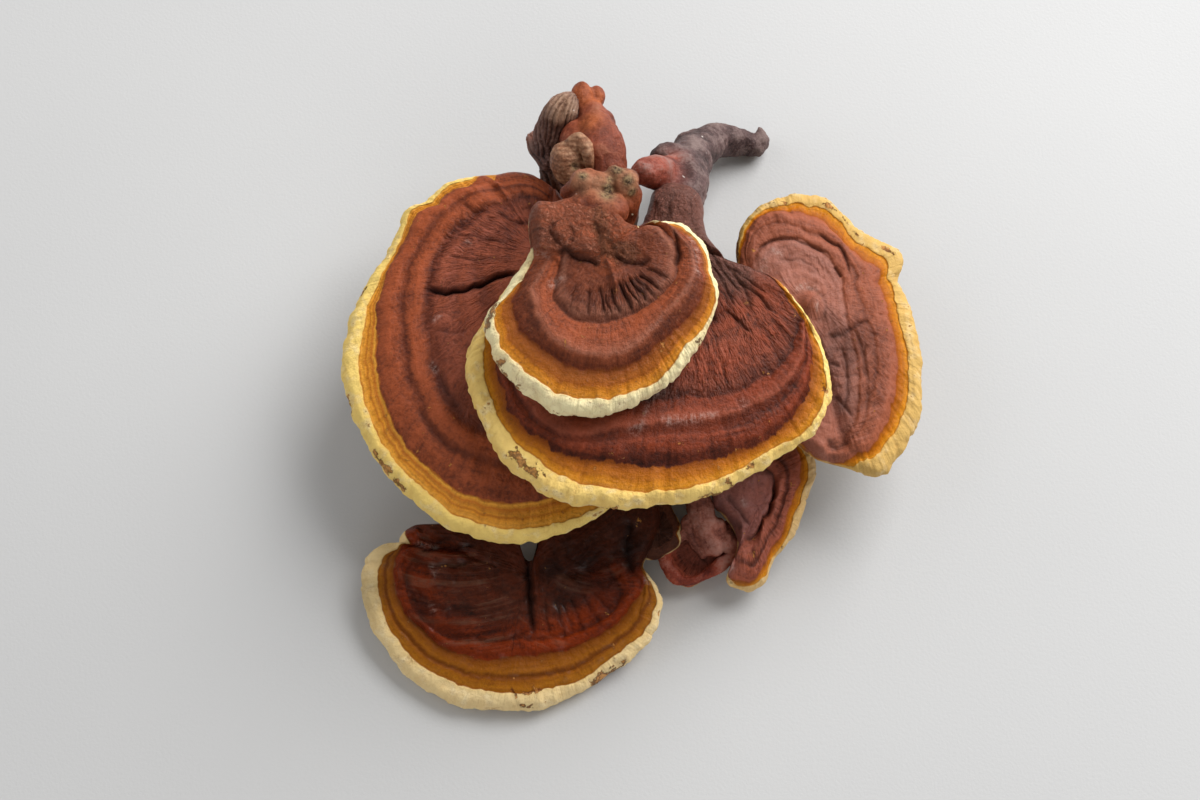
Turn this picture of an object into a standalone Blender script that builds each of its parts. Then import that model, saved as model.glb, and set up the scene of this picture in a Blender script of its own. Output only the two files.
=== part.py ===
"""Dried reishi mushroom: a cluster of fan-shaped caps grown together on knobby, woody stipes.

The cluster lies on a table as it was picked. Six fans and one small lobe face up in tiers, and the
stipes that carry them meet in a thick base stipe under the fans. The real thing grew as one piece and
branches, so each solid here is one branch of it, parted at the fork where it leaves its carrier.

Outlines are read from the photograph in pixels of its 1200 x 800 frame. A sight line from the eye
through such a pixel meets the growth at the stated real height, which gives its place in metres.
"""

import math

import bmesh
import bpy
import numpy as np
from mathutils import Matrix, Vector

MM = 0.001

# Driving sizes
VIEW_WIDTH = 400 * MM  # what the photograph spans, left to right, at the cluster's middle
EYE_DISTANCE = 650 * MM
EYE_ELEVATION = math.radians(72)
MIDDLE_HEIGHT = 35 * MM  # height above the table of the point that the eye looks at
FOOTPRINT_MIDDLE = (11.3 * MM, 7.9 * MM)  # middle of the footprint, seen from the point looked at
FORK_GAP = 0.3 * MM  # between two branches where they part

# The photograph's frame
FRAME_PX = (1200, 800)
METRES_PER_PX = VIEW_WIDTH / FRAME_PX[0]

# Facets of the stipes and their knobs
STIPE_SIDES = 8
STIPE_STEPS = 2
KNOB_SEGMENTS = 8
KNOB_RINGS = 6

# Finishes: linear colour and roughness
LACQUER = ((0.24, 0.055, 0.028), 0.45)
SHADED_LACQUER = ((0.13, 0.035, 0.024), 0.45)
BARK = ((0.11, 0.055, 0.055), 0.5)
DUSTY_KNOBS = ((0.25, 0.085, 0.045), 0.65)
SHARP_TURN = math.radians(70)  # edges that turn more than this look sharp


# Sight lines


def seen_at(u, v, height):
    """The point at this height on the sight line through pixel (u, v), in metres."""
    across = (u - FRAME_PX[0] / 2) * METRES_PER_PX
    up = (FRAME_PX[1] / 2 - v) * METRES_PER_PX
    sine, cosine = math.sin(EYE_ELEVATION), math.cos(EYE_ELEVATION)
    eye_y = -EYE_DISTANCE * cosine
    eye_z = MIDDLE_HEIGHT + EYE_DISTANCE * sine
    on_plane_y = up * sine
    on_plane_z = MIDDLE_HEIGHT + up * cosine
    share = (height - eye_z) / (on_plane_z - eye_z)
    x = across * share
    y = eye_y + (on_plane_y - eye_y) * share
    return x - FOOTPRINT_MIDDLE[0], y - FOOTPRINT_MIDDLE[1]


def seen_point(u, v, height_mm):
    """As seen_at, with the height in millimetres, as a 3-D point."""
    x, y = seen_at(u, v, height_mm * MM)
    return Vector((x, y, height_mm * MM))


def smooth_line(points, per_span, closed=False):
    """A Catmull-Rom curve through the points, with per_span steps from each to the next."""
    p = np.array(points, float)
    count = len(p)
    spans = range(count if closed else count - 1)
    t = np.arange(per_span)[:, None] / per_span
    made = []
    for i in spans:
        if closed:
            a, b, c, d = (p[(i + k) % count] for k in (-1, 0, 1, 2))
        else:
            a, b, c, d = (p[min(max(i + k, 0), count - 1)] for k in (-1, 0, 1, 2))
        made.append(b + 0.5 * t * (c - a + t * (2 * a - 5 * b + 4 * c - d + t * (3 * (b - c) + d - a))))
    if not closed:
        made.append(p[-1:])
    return np.concatenate(made)


# Caps


class Cap:
    """One fan. Its rim is an outline in polar form about the growth centre, on a tilted sheet. The top
    follows a profile from the centre to the rolled margin, with growth ridges, and the underside is a
    shallow bowl. turn is the angle round the centre, and share the way out from centre to margin."""

    def __init__(self, centre_px, height, slope, rim_px, margin, profile, under,
                 wave=(3, 0, 0), neck=(0, 1, 0), knobs=(), creases=()):
        self.height = height * MM
        self.slope = slope
        self.margin, self.under = margin * MM, under * MM
        self.profile_shares, rises = np.transpose([*profile, (1, margin)])
        self.profile_rises = rises * MM
        self.wave, self.neck = wave, neck
        self.x, self.y = seen_at(*centre_px, self.height)
        rim = smooth_line([self.on_sheet(u, v) for u, v in rim_px], 8, closed=True)
        from_centre = rim - (self.x, self.y)
        turns = np.arctan2(from_centre[:, 1], from_centre[:, 0])
        rim = from_centre[np.argsort(turns)]
        self.rim_turns = np.sort(turns)
        self.rim_radii = np.hypot(*rim.T)
        self.round_radius = self.rim_radii.mean()
        steps = np.hypot(*(np.roll(rim, -1, axis=0) - rim).T)
        angles = np.diff(self.rim_turns, append=self.rim_turns[0] + 2 * math.pi)
        shares = steps / steps.sum() + angles / angles.sum()
        self.rim_shares = np.concatenate([[0], np.cumsum(shares)]) / 2
        self.knobs = [(*self.on_sheet(u, v), r * MM, h * MM) for u, v, r, h in knobs]
        self.creases = [(self.on_sheet(*a), self.on_sheet(*b), w * MM, d * MM) for a, b, w, d in creases]

    def sheet(self, x, y):
        """Height of the rim's plane."""
        return self.height + self.slope[0] * (x - self.x) + self.slope[1] * (y - self.y)

    def on_sheet(self, u, v):
        """Where the sight line through a pixel meets the rim's plane."""
        height = self.height
        for _ in range(8):
            x, y = seen_at(u, v, height)
            height = self.sheet(x, y)
        return x, y

    def radius(self, turn):
        return np.interp(turn, self.rim_turns, self.rim_radii, period=2 * math.pi)

    def spread_turn(self, turn):
        """Even steps of the angle given become steps that are half even in angle, half along the rim."""
        whole = 2 * math.pi
        known = np.append(self.rim_turns, self.rim_turns[0] + whole)
        return np.interp((turn + math.pi) % whole / whole, self.rim_shares, known)

    def surface(self, turn, share, roll):
        """Points for arrays of turn, share and roll. share is 1 on the rolled margin, where roll goes
        from a quarter turn, up, to minus a quarter turn, down; elsewhere roll's sign picks the side."""
        middle, half_width, extra = self.neck
        away = np.abs((turn - math.radians(middle) + math.pi) % (2 * math.pi) - math.pi)
        towards_neck = share * np.clip(1 - (away / math.radians(half_width)) ** 2, 0, 1)
        extra = extra * MM * towards_neck
        edge = self.margin + extra
        inner = self.radius(turn) - edge
        rounding = np.clip(self.round_radius / inner - 1, -0.5, 0.8)
        out = inner * share * (1 + (1 - share) * rounding) + edge * np.cos(roll)
        x = self.x + out * np.cos(turn)
        y = self.y + out * np.sin(turn)
        ridged = np.interp(share, self.profile_shares, self.profile_rises)
        smooth = self.profile_rises[0] * (1 - share) + self.margin * share
        up = ridged + (smooth - ridged) * towards_neck + extra + self.lumps(x, y)
        down = edge + (self.under - self.margin) * (1 - share**2)
        lift = np.where(roll >= 0, up, down) * np.sin(roll)
        count, tall, start = self.wave
        wave = tall * MM * share**2 * np.cos(count * turn + math.radians(start))
        z = np.maximum(self.sheet(x, y) + wave + lift, 0)
        return np.stack([x, y, z], axis=-1)

    def lumps(self, x, y):
        """Knobs and creases of the top, as a height."""
        height = np.zeros_like(x)
        for kx, ky, r, tall in self.knobs:
            height = height + tall * np.exp(-((x - kx) ** 2 + (y - ky) ** 2) / r**2)
        for (ax, ay), (bx, by), width, depth in self.creases:
            length2 = (bx - ax) ** 2 + (by - ay) ** 2
            along = np.clip(((x - ax) * (bx - ax) + (y - ay) * (by - ay)) / length2, 0, 1)
            away2 = (x - ax - along * (bx - ax)) ** 2 + (y - ay - along * (by - ay)) ** 2
            height = height - depth * np.exp(-away2 / width**2)
        return height

    def build(self, name, segments, roll_rings=4, under_rings=2):
        """A sphere whose rings are sent to the cap: its upper rings to the top, those near the equator
        round the margin, and its lower rings to the underside."""
        quarter = math.pi / 2
        tops = [(share, quarter) for share in self.profile_shares[:-1]]
        rolls = [(1.0, angle) for angle in np.linspace(quarter, -quarter, roll_rings)]
        unders = [(share, -quarter) for share in np.linspace(1, 0, under_rings + 1)[1:]]
        stations = np.array(tops + rolls + unders)
        rings = len(stations) - 1
        ball = bmesh.new()
        bmesh.ops.create_uvsphere(ball, u_segments=segments, v_segments=rings, radius=1)
        at = np.array([vertex.co for vertex in ball.verts])
        ring = np.rint(np.arccos(np.clip(at[:, 2], -1, 1)) / math.pi * rings).astype(int)
        turn = self.spread_turn(np.arctan2(at[:, 1], at[:, 0]))
        places = self.surface(turn, stations[ring, 0], stations[ring, 1])
        for vertex, place in zip(ball.verts, places):
            vertex.co = place
        return from_bmesh(name, ball)


UPPER = Cap(
    centre_px=(608, 264), height=70, slope=(0.02, 0.12), margin=4.3, under=6.5, wave=(3, 0.7, 20),
    neck=(112, 42, 2.4),
    profile=[(0, 7.8), (0.26, 8.2), (0.42, 5.4), (0.54, 6.9), (0.70, 7.5), (0.80, 7.1), (0.86, 4.4)],
    rim_px=[(571, 197), (549, 204), (534, 206), (529, 217), (530, 252), (510, 284), (497, 301), (487, 315),
            (485, 328), (494, 361), (523, 395), (561, 414), (594, 417), (632, 406), (667, 386), (692, 358),
            (709, 328), (719, 297), (709, 258), (700, 242), (686, 227), (669, 222), (654, 227), (641, 230),
            (627, 225), (617, 213), (600, 200)],
    knobs=[(544, 221, 5, 2.4), (563, 229, 4, 1.8), (582, 248, 5, 2.0), (605, 238, 4, 1.2), (578, 213, 5, 2.0),
           (624, 246, 5, 2.2), (655, 240, 6, 1.6)],
    creases=[((600, 212), (609, 246), 1.8, 2.0)],
)
MIDDLE = Cap(
    centre_px=(671, 252), height=53, slope=(-0.03, 0.06), margin=4.2, under=6.5, wave=(4, 0.9, 60),
    neck=(80, 52, 3.6),
    profile=[(0, 8.5), (0.25, 8.0), (0.46, 7.2), (0.57, 5.4), (0.64, 7.2), (0.71, 5.3), (0.83, 6.3),
             (0.89, 3.9)],
    rim_px=[(653, 197), (646, 217), (636, 232), (605, 242), (565, 254), (530, 270), (504, 292), (486, 318),
            (474, 337), (466, 371), (475, 410), (496, 454), (533, 487), (581, 508), (630, 510), (679, 503),
            (722, 492), (758, 469), (795, 448), (821, 424), (831, 390), (824, 354), (807, 322), (782, 289),
            (747, 273), (730, 267), (716, 252), (706, 236), (703, 220), (704, 204), (690, 196), (670, 194)],
)
LEFT = Cap(
    centre_px=(548, 266), height=36, slope=(0.05, 0.02), margin=4.0, under=6.5, wave=(3, 1.0, 0),
    profile=[(0, 7.6), (0.3, 7.3), (0.5, 6.9), (0.61, 4.7), (0.68, 6.6), (0.76, 4.4), (0.84, 6.3),
             (0.89, 3.8)],
    rim_px=[(556, 192), (531, 176), (496, 177), (464, 181), (440, 190), (424, 204), (404, 212), (393, 238),
            (378, 265), (362, 289), (351, 315), (344, 347), (341, 365), (347, 401), (360, 434), (382, 467),
            (420, 510), (442, 525), (468, 536), (493, 543), (519, 544), (560, 534), (600, 515), (612, 498),
            (612, 450), (602, 410), (596, 370), (590, 330), (586, 290), (582, 250), (574, 215)],
    creases=[((428, 292), (515, 274), 1.5, 2.0)],
)
RIGHT = Cap(
    centre_px=(808, 308), height=30, slope=(-0.12, 0.02), margin=3.7, under=6, wave=(3, 0.8, 100),
    profile=[(0, 7.6), (0.14, 7.0), (0.25, 4.7), (0.44, 6.0), (0.54, 4.1), (0.66, 5.8), (0.78, 3.8),
             (0.87, 5.0)],
    rim_px=[(738, 270), (737, 238), (753, 212), (765, 203), (796, 194), (826, 201), (847, 219), (870, 236),
            (897, 249), (904, 260), (898, 281), (911, 309), (920, 352), (922, 372), (919, 417), (911, 437),
            (888, 471), (874, 477), (846, 467), (818, 459), (798, 443), (785, 425), (770, 400), (756, 370),
            (746, 340), (740, 310)],
    creases=[((845, 331), (868, 321), 1.5, 1.2)],
)
LOWER_LEFT = Cap(
    centre_px=(530, 582), height=8.6, slope=(0.0, 0.13), margin=3.9, under=6, wave=(4, 0.6, 40),
    profile=[(0, 6.6), (0.3, 6.5), (0.5, 6.4), (0.62, 6.2), (0.68, 4.3), (0.80, 5.5), (0.88, 3.6)],
    rim_px=[(398, 549), (389, 542), (378, 547), (367, 558), (362, 574), (363, 593), (376, 635), (407, 677),
            (448, 703), (503, 711), (547, 707), (587, 688), (627, 665), (653, 637), (663, 604), (649, 576),
            (644, 566), (657, 536), (661, 523), (655, 503), (630, 494), (600, 491), (570, 492), (551, 500),
            (545, 520), (540, 548), (535, 560), (525, 560), (520, 548), (515, 520), (500, 512), (465, 518),
            (440, 525), (415, 527), (405, 532), (401, 541)],
    knobs=[(430, 570, 12, 1.4), (590, 540, 12, 2.0), (540, 590, 5, 1.0)],
    creases=[((524, 570), (528, 634), 1.6, 1.4)],
)
TUCKED = Cap(
    centre_px=(657, 533), height=10, slope=(0.0, 0.1), margin=2.4, under=3.5, profile=[(0, 3.6), (0.5, 3.4)],
    rim_px=[(650, 505), (667, 501), (674, 512), (680, 523), (683, 533), (680, 545), (670, 553), (655, 560),
            (640, 556), (634, 540), (638, 518)],
)
LOWER_RIGHT = Cap(
    centre_px=(757, 512), height=13.5, slope=(-0.05, 0.25), margin=3.0, under=5, wave=(3, 0.5, 0),
    profile=[(0, 5.6), (0.3, 5.5), (0.46, 4.1), (0.6, 5.2), (0.75, 3.7), (0.88, 3.5)],
    rim_px=[(801, 444), (816, 463), (812, 487), (800, 519), (791, 537), (775, 558), (770, 570), (766, 582),
            (749, 592), (729, 586), (726, 578), (731, 567), (735, 556), (737, 545), (733, 530), (722, 514),
            (713, 505), (712, 490), (718, 470), (735, 450), (760, 438), (785, 438)],
)
SMALL = Cap(
    centre_px=(703, 546), height=4.4, slope=(0.0, 0.14), margin=2.8, under=4, neck=(92, 40, 1.2),
    profile=[(0, 5), (0.4, 4.6), (0.7, 3.6), (0.9, 3.2)],
    rim_px=[(722, 570), (711, 576), (691, 586), (683, 586), (675, 578), (662, 559), (664, 549), (682, 531),
            (688, 517), (690, 503), (700, 497), (709, 501), (714, 514), (721, 522), (732, 519), (740, 525),
            (746, 535), (746, 546), (737, 553), (730, 560)],
    knobs=[(734, 538, 3, 1.2), (690, 560, 4, 0.8)],
)


# Making and joining solids


def linked(name, mesh):
    made = bpy.data.objects.new(name, mesh)
    WORKSHOP.objects.link(made)
    return made


def from_bmesh(name, shape):
    bmesh.ops.recalc_face_normals(shape, faces=shape.faces)
    if shape.calc_volume(signed=True) < 0:
        bmesh.ops.reverse_faces(shape, faces=shape.faces)
    mesh = bpy.data.meshes.new(name)
    shape.to_mesh(mesh)
    shape.free()
    return linked(name, mesh)


def evaluated_copy(name, source):
    """A mesh object with the source's modifiers or bevel worked out, its caps welded and its flats whole."""
    bpy.context.view_layer.update()
    graph = bpy.context.evaluated_depsgraph_get()
    mesh = bpy.data.meshes.new_from_object(source.evaluated_get(graph))
    shape = bmesh.new()
    shape.from_mesh(mesh)
    shape.transform(source.matrix_world)
    bmesh.ops.remove_doubles(shape, verts=shape.verts, dist=0.01 * MM)
    bmesh.ops.dissolve_limit(shape, angle_limit=math.radians(2), verts=shape.verts, edges=shape.edges)
    bmesh.ops.triangulate(shape, faces=shape.faces)
    shape.to_mesh(mesh)
    shape.free()
    return linked(name, mesh)


def discard(*used):
    for helper in used:
        bpy.data.objects.remove(helper)


def stipe(name, stations, sides=STIPE_SIDES):
    """A round branch: stations are (pixel u, pixel v, height mm, radius mm) down its middle."""
    line = smooth_line([(*seen_point(u, v, height), r * MM) for u, v, height, r in stations], STIPE_STEPS)
    curve = bpy.data.curves.new(name, "CURVE")
    curve.dimensions = "3D"
    curve.bevel_depth = 1.0
    curve.bevel_resolution = (sides - 4) // 2
    curve.use_fill_caps = True
    spline = curve.splines.new("POLY")
    spline.points.add(len(line) - 1)
    for point, (x, y, z, radius) in zip(spline.points, line):
        point.co = (x, y, z, 1)
        point.radius = radius
    bent = linked(name + "_line", curve)
    solid = evaluated_copy(name, bent)
    discard(bent)
    return solid


def knob(name, u, v, height, radii, roll=0.0):
    """An egg-shaped swelling about a seen point, with its three half-widths in millimetres."""
    shape = bmesh.new()
    bmesh.ops.create_uvsphere(shape, u_segments=KNOB_SEGMENTS, v_segments=KNOB_RINGS, radius=1)
    stretch = Matrix.Diagonal((*(r * MM for r in radii), 1))
    turned = Matrix.Rotation(math.radians(roll), 4, "Z")
    shape.transform(Matrix.Translation(seen_point(u, v, height)) @ turned @ stretch)
    return from_bmesh(name, shape)


def boolean(target, other, operation):
    """The solid left of target after this Boolean with other. Both are used up."""
    step = target.modifiers.new("step", "BOOLEAN")
    step.operation = operation
    step.solver = "EXACT"
    step.object = other
    name = target.name
    solid = evaluated_copy(name + "_next", target)
    discard(target, other)
    solid.name = name
    return solid


def grown_as_one(name, *solids):
    """The solids joined in one."""
    whole = solids[0]
    for other in solids[1:]:
        whole = boolean(whole, other, "UNION")
    whole.name = name
    return whole


def swollen_copy(solid, by):
    """A cutter: the solid with its surface moved out."""
    shape = bmesh.new()
    shape.from_mesh(solid.data)
    shape.normal_update()
    moves = [vertex.normal * by for vertex in shape.verts]
    for vertex, move in zip(shape.verts, moves):
        vertex.co += move
    return from_bmesh(solid.name + "_cutter", shape)


def parted_from(solid, *carriers):
    """The solid cut back to leave the fork's gap to each carrier."""
    for carrier in carriers:
        solid = boolean(solid, swollen_copy(carrier, FORK_GAP), "DIFFERENCE")
    return solid


def off_the_table(solid):
    """The solid cut flat where it would reach below the table."""
    shape = bmesh.new()
    bmesh.ops.create_cube(shape, size=1)
    shape.transform(Matrix.Translation((0, 0, -0.5)))
    return boolean(solid, from_bmesh("table", shape), "DIFFERENCE")


# The branches


def make_base_stipe():
    trunk = stipe("base_stipe", [(557, 184, 13, 3), (562, 200, 10, 8.5), (580, 258, 9, 11),
                                 (604, 325, 10, 9.5), (626, 385, 11, 10), (642, 432, 12, 8.5),
                                 (648, 450, 12, 5)], 10)
    to_left = stipe("to_left", [(572, 250, 11, 7), (560, 256, 23, 7), (552, 262, 33, 9)])
    to_right = stipe("to_right", [(610, 345, 11, 7), (680, 352, 13, 7), (745, 335, 18, 6),
                                  (796, 314, 27, 7.5)])
    to_lower_left = stipe("to_lower_left", [(634, 425, 12, 7), (612, 462, 12, 6.5), (592, 498, 12, 6),
                                            (584, 520, 11, 4.5)])
    to_lower_right = stipe("to_lower_right", [(634, 420, 12, 7), (690, 446, 14, 6.5), (735, 466, 15, 5),
                                              (752, 490, 13, 4)])
    lump = knob("lump", 566, 232, 13, (12, 10, 10), 20)
    swelling = knob("swelling", 634, 412, 12, (11, 9, 9), -30)
    return off_the_table(
        grown_as_one("base_stipe", trunk, to_left, to_right, to_lower_left, to_lower_right, lump, swelling)
    )


def make_upper_stipe():
    stem = stipe("upper_stipe", [(586, 246, 15, 8), (600, 238, 32, 8), (614, 222, 48, 7.5),
                                 (617, 206, 60, 7), (612, 195, 67, 6)])
    left = knob("left_knob", 582, 183, 73, (5.2, 4.8, 5))
    middle = knob("middle_knob", 599, 188, 72, (7, 6, 6))
    right = knob("right_knob", 625, 181, 72, (4.8, 5, 5))
    crust = knob("crust_knob", 614, 176, 73, (4, 3.6, 4.6))
    side = knob("side_knob", 622, 203, 66, (4.6, 7, 8))
    return grown_as_one("upper_stipe", stem, left, middle, right, crust, side)


def make_knob_stem():
    stem = stipe("knob_stem", [(563, 206, 18, 6), (560, 190, 26, 5.6), (554, 170, 34, 5), (551, 148, 41, 4.6),
                               (554, 126, 46, 4.4), (566, 110, 49, 4.4), (578, 106, 49, 4)])
    bulb = stipe("bulb", [(612, 206, 54, 5), (606, 182, 52, 6), (603, 160, 53, 7.4), (601, 146, 54, 7.6),
                          (598, 128, 52, 6.2), (589, 112, 50, 4.8), (584, 98, 48, 4), (581, 87, 47, 2.2)])
    striped = knob("striped", 567, 163, 56, (5.6, 7.8, 6.4), 20)
    hook = knob("hook", 579, 152, 60, (3.6, 5.2, 3.6), 25)
    web = knob("web", 573, 130, 45, (6, 6, 5))
    bud = knob("bud", 597, 98, 48, (2.6, 3.8, 2.8), 10)
    flange = stipe("flange", [(553, 152, 40, 4), (543, 147, 35, 3.6), (535, 146, 32, 2.4)])
    return grown_as_one("knob_stem", stem, bulb, striped, hook, web, bud, flange)


def make_right_stem():
    stem = stipe("right_stem", [(764, 139, 4, 2.6), (755, 143, 4, 4.6), (736, 141, 7, 5.7),
                                (716, 144, 12, 6.4), (697, 156, 22, 7.8), (682, 170, 34, 8.8),
                                (681, 187, 43, 8.8), (679, 200, 49, 8.0)], 10)
    nub = stipe("nub", [(684, 168, 36, 7), (664, 167, 48, 6.4), (649, 171, 56, 4.8), (635, 171, 63, 3.4)])
    ledge = knob("ledge", 684, 147, 28, (9, 5, 7), 15)
    return off_the_table(grown_as_one("right_stem", stem, nub, ledge))


def make_small_cap():
    cap = SMALL.build("small_cap", 22)
    stem = stipe("small_stem", [(702, 534, 7, 4.2), (698, 510, 10, 4.2), (690, 485, 13, 4.4),
                                (672, 452, 15, 5)])
    return off_the_table(grown_as_one("small_cap", cap, stem))


# The scene


def clear_scene():
    for old in list(bpy.data.objects):
        bpy.data.objects.remove(old)


def collection(name):
    made = bpy.data.collections.new(name)
    bpy.context.scene.collection.children.link(made)
    return made


def place(solid, colour, roughness):
    """Puts a finished branch in the cluster's collection with a material of its own."""
    material = bpy.data.materials.new(solid.name + "_skin")
    material.use_nodes = True
    shader = material.node_tree.nodes["Principled BSDF"]
    shader.inputs["Base Color"].default_value = (*colour, 1)
    shader.inputs["Roughness"].default_value = roughness
    WORKSHOP.objects.unlink(solid)
    CLUSTER.objects.link(solid)
    solid.data.name = solid.name
    solid.data.materials.clear()
    solid.data.materials.append(material)
    solid.data.shade_smooth()
    solid.data.set_sharp_from_angle(angle=SHARP_TURN)


clear_scene()
CLUSTER = collection("dried_reishi_mushroom")
WORKSHOP = collection("workshop")

upper_cap = UPPER.build("upper_cap", 42)
middle_cap = MIDDLE.build("middle_cap", 46)
left_cap = LEFT.build("left_cap", 46)
right_cap = RIGHT.build("right_cap", 38)
small_cap = make_small_cap()
front_fan = LOWER_LEFT.build("front_fan", 52)
tucked_lobe = TUCKED.build("tucked_lobe", 12)
lower_left_cap = parted_from(grown_as_one("lower_left_cap", front_fan, tucked_lobe), small_cap)
lower_right_cap = parted_from(LOWER_RIGHT.build("lower_right_cap", 28), small_cap)
upper_stipe = parted_from(make_upper_stipe(), upper_cap, middle_cap)
left_cap = parted_from(left_cap, upper_stipe)
right_stem = parted_from(make_right_stem(), middle_cap, upper_stipe)
knob_stem = parted_from(make_knob_stem(), upper_stipe, left_cap, right_stem)
carried = (left_cap, right_cap, lower_left_cap, lower_right_cap, small_cap, upper_stipe, knob_stem)
base_stipe = parted_from(make_base_stipe(), *carried)

for branch in (upper_cap, middle_cap, left_cap, right_cap):
    place(branch, *LACQUER)
for branch in (lower_left_cap, lower_right_cap, small_cap):
    place(branch, *SHADED_LACQUER)
for branch in (base_stipe, right_stem):
    place(branch, *BARK)
for branch in (upper_stipe, knob_stem):
    place(branch, *DUSTY_KNOBS)
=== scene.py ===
# %% [markdown]
# # A dried reishi mushroom on a pale cloth
#
# This lesson dresses a cluster of dried reishi: seven fans and some knobby stipes that grew together. Its
# plain solids are already in the scene, one for each branch. They have the right places and main
# forms, but a real fan has hundreds of growth lines, a wrinkled lacquer and a thick cream margin. So
# every branch gets a finer surface here, worked out with arrays, in the place of its plain solid.

# %% Load the frame
import math
import types

import bpy
import numpy as np
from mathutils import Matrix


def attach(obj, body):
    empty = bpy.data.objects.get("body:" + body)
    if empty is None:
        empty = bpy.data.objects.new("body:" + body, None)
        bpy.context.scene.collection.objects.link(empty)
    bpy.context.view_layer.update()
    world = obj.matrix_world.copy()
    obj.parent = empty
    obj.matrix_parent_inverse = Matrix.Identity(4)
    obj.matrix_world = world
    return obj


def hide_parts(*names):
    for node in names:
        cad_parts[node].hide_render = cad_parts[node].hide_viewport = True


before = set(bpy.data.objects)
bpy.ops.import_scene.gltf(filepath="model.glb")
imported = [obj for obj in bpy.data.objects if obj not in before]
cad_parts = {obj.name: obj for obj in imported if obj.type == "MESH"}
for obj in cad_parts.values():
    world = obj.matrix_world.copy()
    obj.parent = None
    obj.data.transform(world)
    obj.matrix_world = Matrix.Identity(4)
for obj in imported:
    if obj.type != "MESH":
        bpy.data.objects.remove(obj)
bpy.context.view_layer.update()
MM = 0.001
QUARTER = math.pi / 2
print("branches:", ", ".join(sorted(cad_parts)))

# %% [markdown]
# ## The eye
#
# The photograph looks down on the cluster from 72 degrees above the table, its near edge at the bottom.
# The camera could be put in by trial, but then no pixel would tell where anything is. With its
# distance, height and width of view as named values, a pixel becomes a line of sight, and the place
# where that line meets a fan is worked out from the fan's height. All lengths here are millimetres.

# %% The camera and its lines of sight
VIEW_WIDTH = 400.0
EYE_DISTANCE = 650.0
EYE_ELEVATION = math.radians(72)
MIDDLE_HEIGHT = 35.0
FOOTPRINT_MIDDLE = np.array([11.3, 7.9])
PICTURE = (1200, 800)
SENSOR = 36.0
MM_PER_PIXEL = VIEW_WIDTH / PICTURE[0]

eye_back = EYE_DISTANCE * math.cos(EYE_ELEVATION)
eye_up = MIDDLE_HEIGHT + EYE_DISTANCE * math.sin(EYE_ELEVATION)


def seen_at(u, v, height):
    """Where the line of sight through pixel (u, v) is at this height. The line starts at the eye and
    passes through the pixel's point on an upright picture plane at the middle of the cluster."""
    u, v = np.asarray(u, float), np.asarray(v, float)
    across = (u - PICTURE[0] / 2) * MM_PER_PIXEL
    up = (PICTURE[1] / 2 - v) * MM_PER_PIXEL
    plane_y = up * math.sin(EYE_ELEVATION)
    plane_z = MIDDLE_HEIGHT + up * math.cos(EYE_ELEVATION)
    share = (height - eye_up) / (plane_z - eye_up)
    x = across * share - FOOTPRINT_MIDDLE[0]
    y = -eye_back + (plane_y + eye_back) * share - FOOTPRINT_MIDDLE[1]
    return x, y


camera_data = bpy.data.cameras.new("eye")
camera_data.sensor_width = SENSOR
camera_data.lens = SENSOR * EYE_DISTANCE / VIEW_WIDTH
camera_data.clip_start = 0.01
camera = bpy.data.objects.new("eye", camera_data)
camera.location = np.array([-FOOTPRINT_MIDDLE[0], -eye_back - FOOTPRINT_MIDDLE[1], eye_up]) * MM
camera.rotation_euler = (QUARTER - EYE_ELEVATION, 0, 0)
bpy.context.scene.collection.objects.link(camera)
bpy.context.scene.camera = camera
print("the eye is", round(eye_up), "mm above the table, with a lens of", camera_data.lens, "mm")

# %% [markdown]
# ## Tools for grown surfaces
#
# Grown things are never even. Smooth noise gives that unevenness: random numbers on a lattice, blended
# in between. It is worked out with arrays, so the same few lines shape a whole fan of 80,000 points.

# %% Smooth lines and smooth noise
LATTICE_SIDE = 32
lattice = np.random.default_rng(11).uniform(-1, 1, (LATTICE_SIDE,) * 3)


def smooth_line(points, per_span, closed=False):
    """A curve through the points: in each span a cubic that leaves and arrives along the line between
    the point before and the point after."""
    p = np.array(points, float)
    count = len(p)
    if closed:
        a, b, c, d = (np.roll(p, shift, axis=0) for shift in (1, 0, -1, -2))
    else:
        padded = np.concatenate([p[:1], p, p[-1:]])
        a, b, c, d = (padded[k : k + count - 1] for k in range(4))
    t = (np.arange(per_span) / per_span)[None, :, None]
    a, b, c, d = (points_of[:, None, :] for points_of in (a, b, c, d))
    made = b + 0.5 * t * (c - a + t * (2 * a - 5 * b + 4 * c - d + t * (3 * (b - c) + d - a)))
    made = made.reshape(-1, p.shape[1])
    return made if closed else np.concatenate([made, p[-1:]])


def noise(x, y, z):
    """Smooth noise from -1 to 1: the lattice's numbers at the eight corners round a point, blended with
    weights that ease in and out."""
    x, y, z = np.broadcast_arrays(x, y, z)
    cell = [np.floor(axis).astype(int) for axis in (x, y, z)]
    ease = [(axis - low) ** 2 * (3 - 2 * (axis - low)) for axis, low in zip((x, y, z), cell)]
    total = np.zeros(x.shape)
    for corner in np.ndindex(2, 2, 2):
        weight = np.ones(x.shape)
        for side, part in zip(corner, ease):
            weight = weight * (part if side else 1 - part)
        place = [(low + side) % LATTICE_SIDE for low, side in zip(cell, corner)]
        total += weight * lattice[tuple(place)]
    return total


def rough_noise(x, y, z, layers=3):
    """Layers of noise, each half as tall and twice as fine as the one before."""
    return sum(noise(x * 2**k, y * 2**k, z * 2**k + 7 * k) / 2**k for k in range(layers))


def rise(value, start, end):
    """0 before start, 1 after end, and an eased rise between them."""
    t = np.clip((value - start) / (end - start), 0, 1)
    return t * t * (3 - 2 * t)


print("noise spans", lattice.min().round(2), "to", lattice.max().round(2))

# %% [markdown]
# A surface becomes a mesh by writing whole arrays into it. Each point also keeps a few numbers, such as
# its distance from the margin, which the skin's colours follow.

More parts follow.
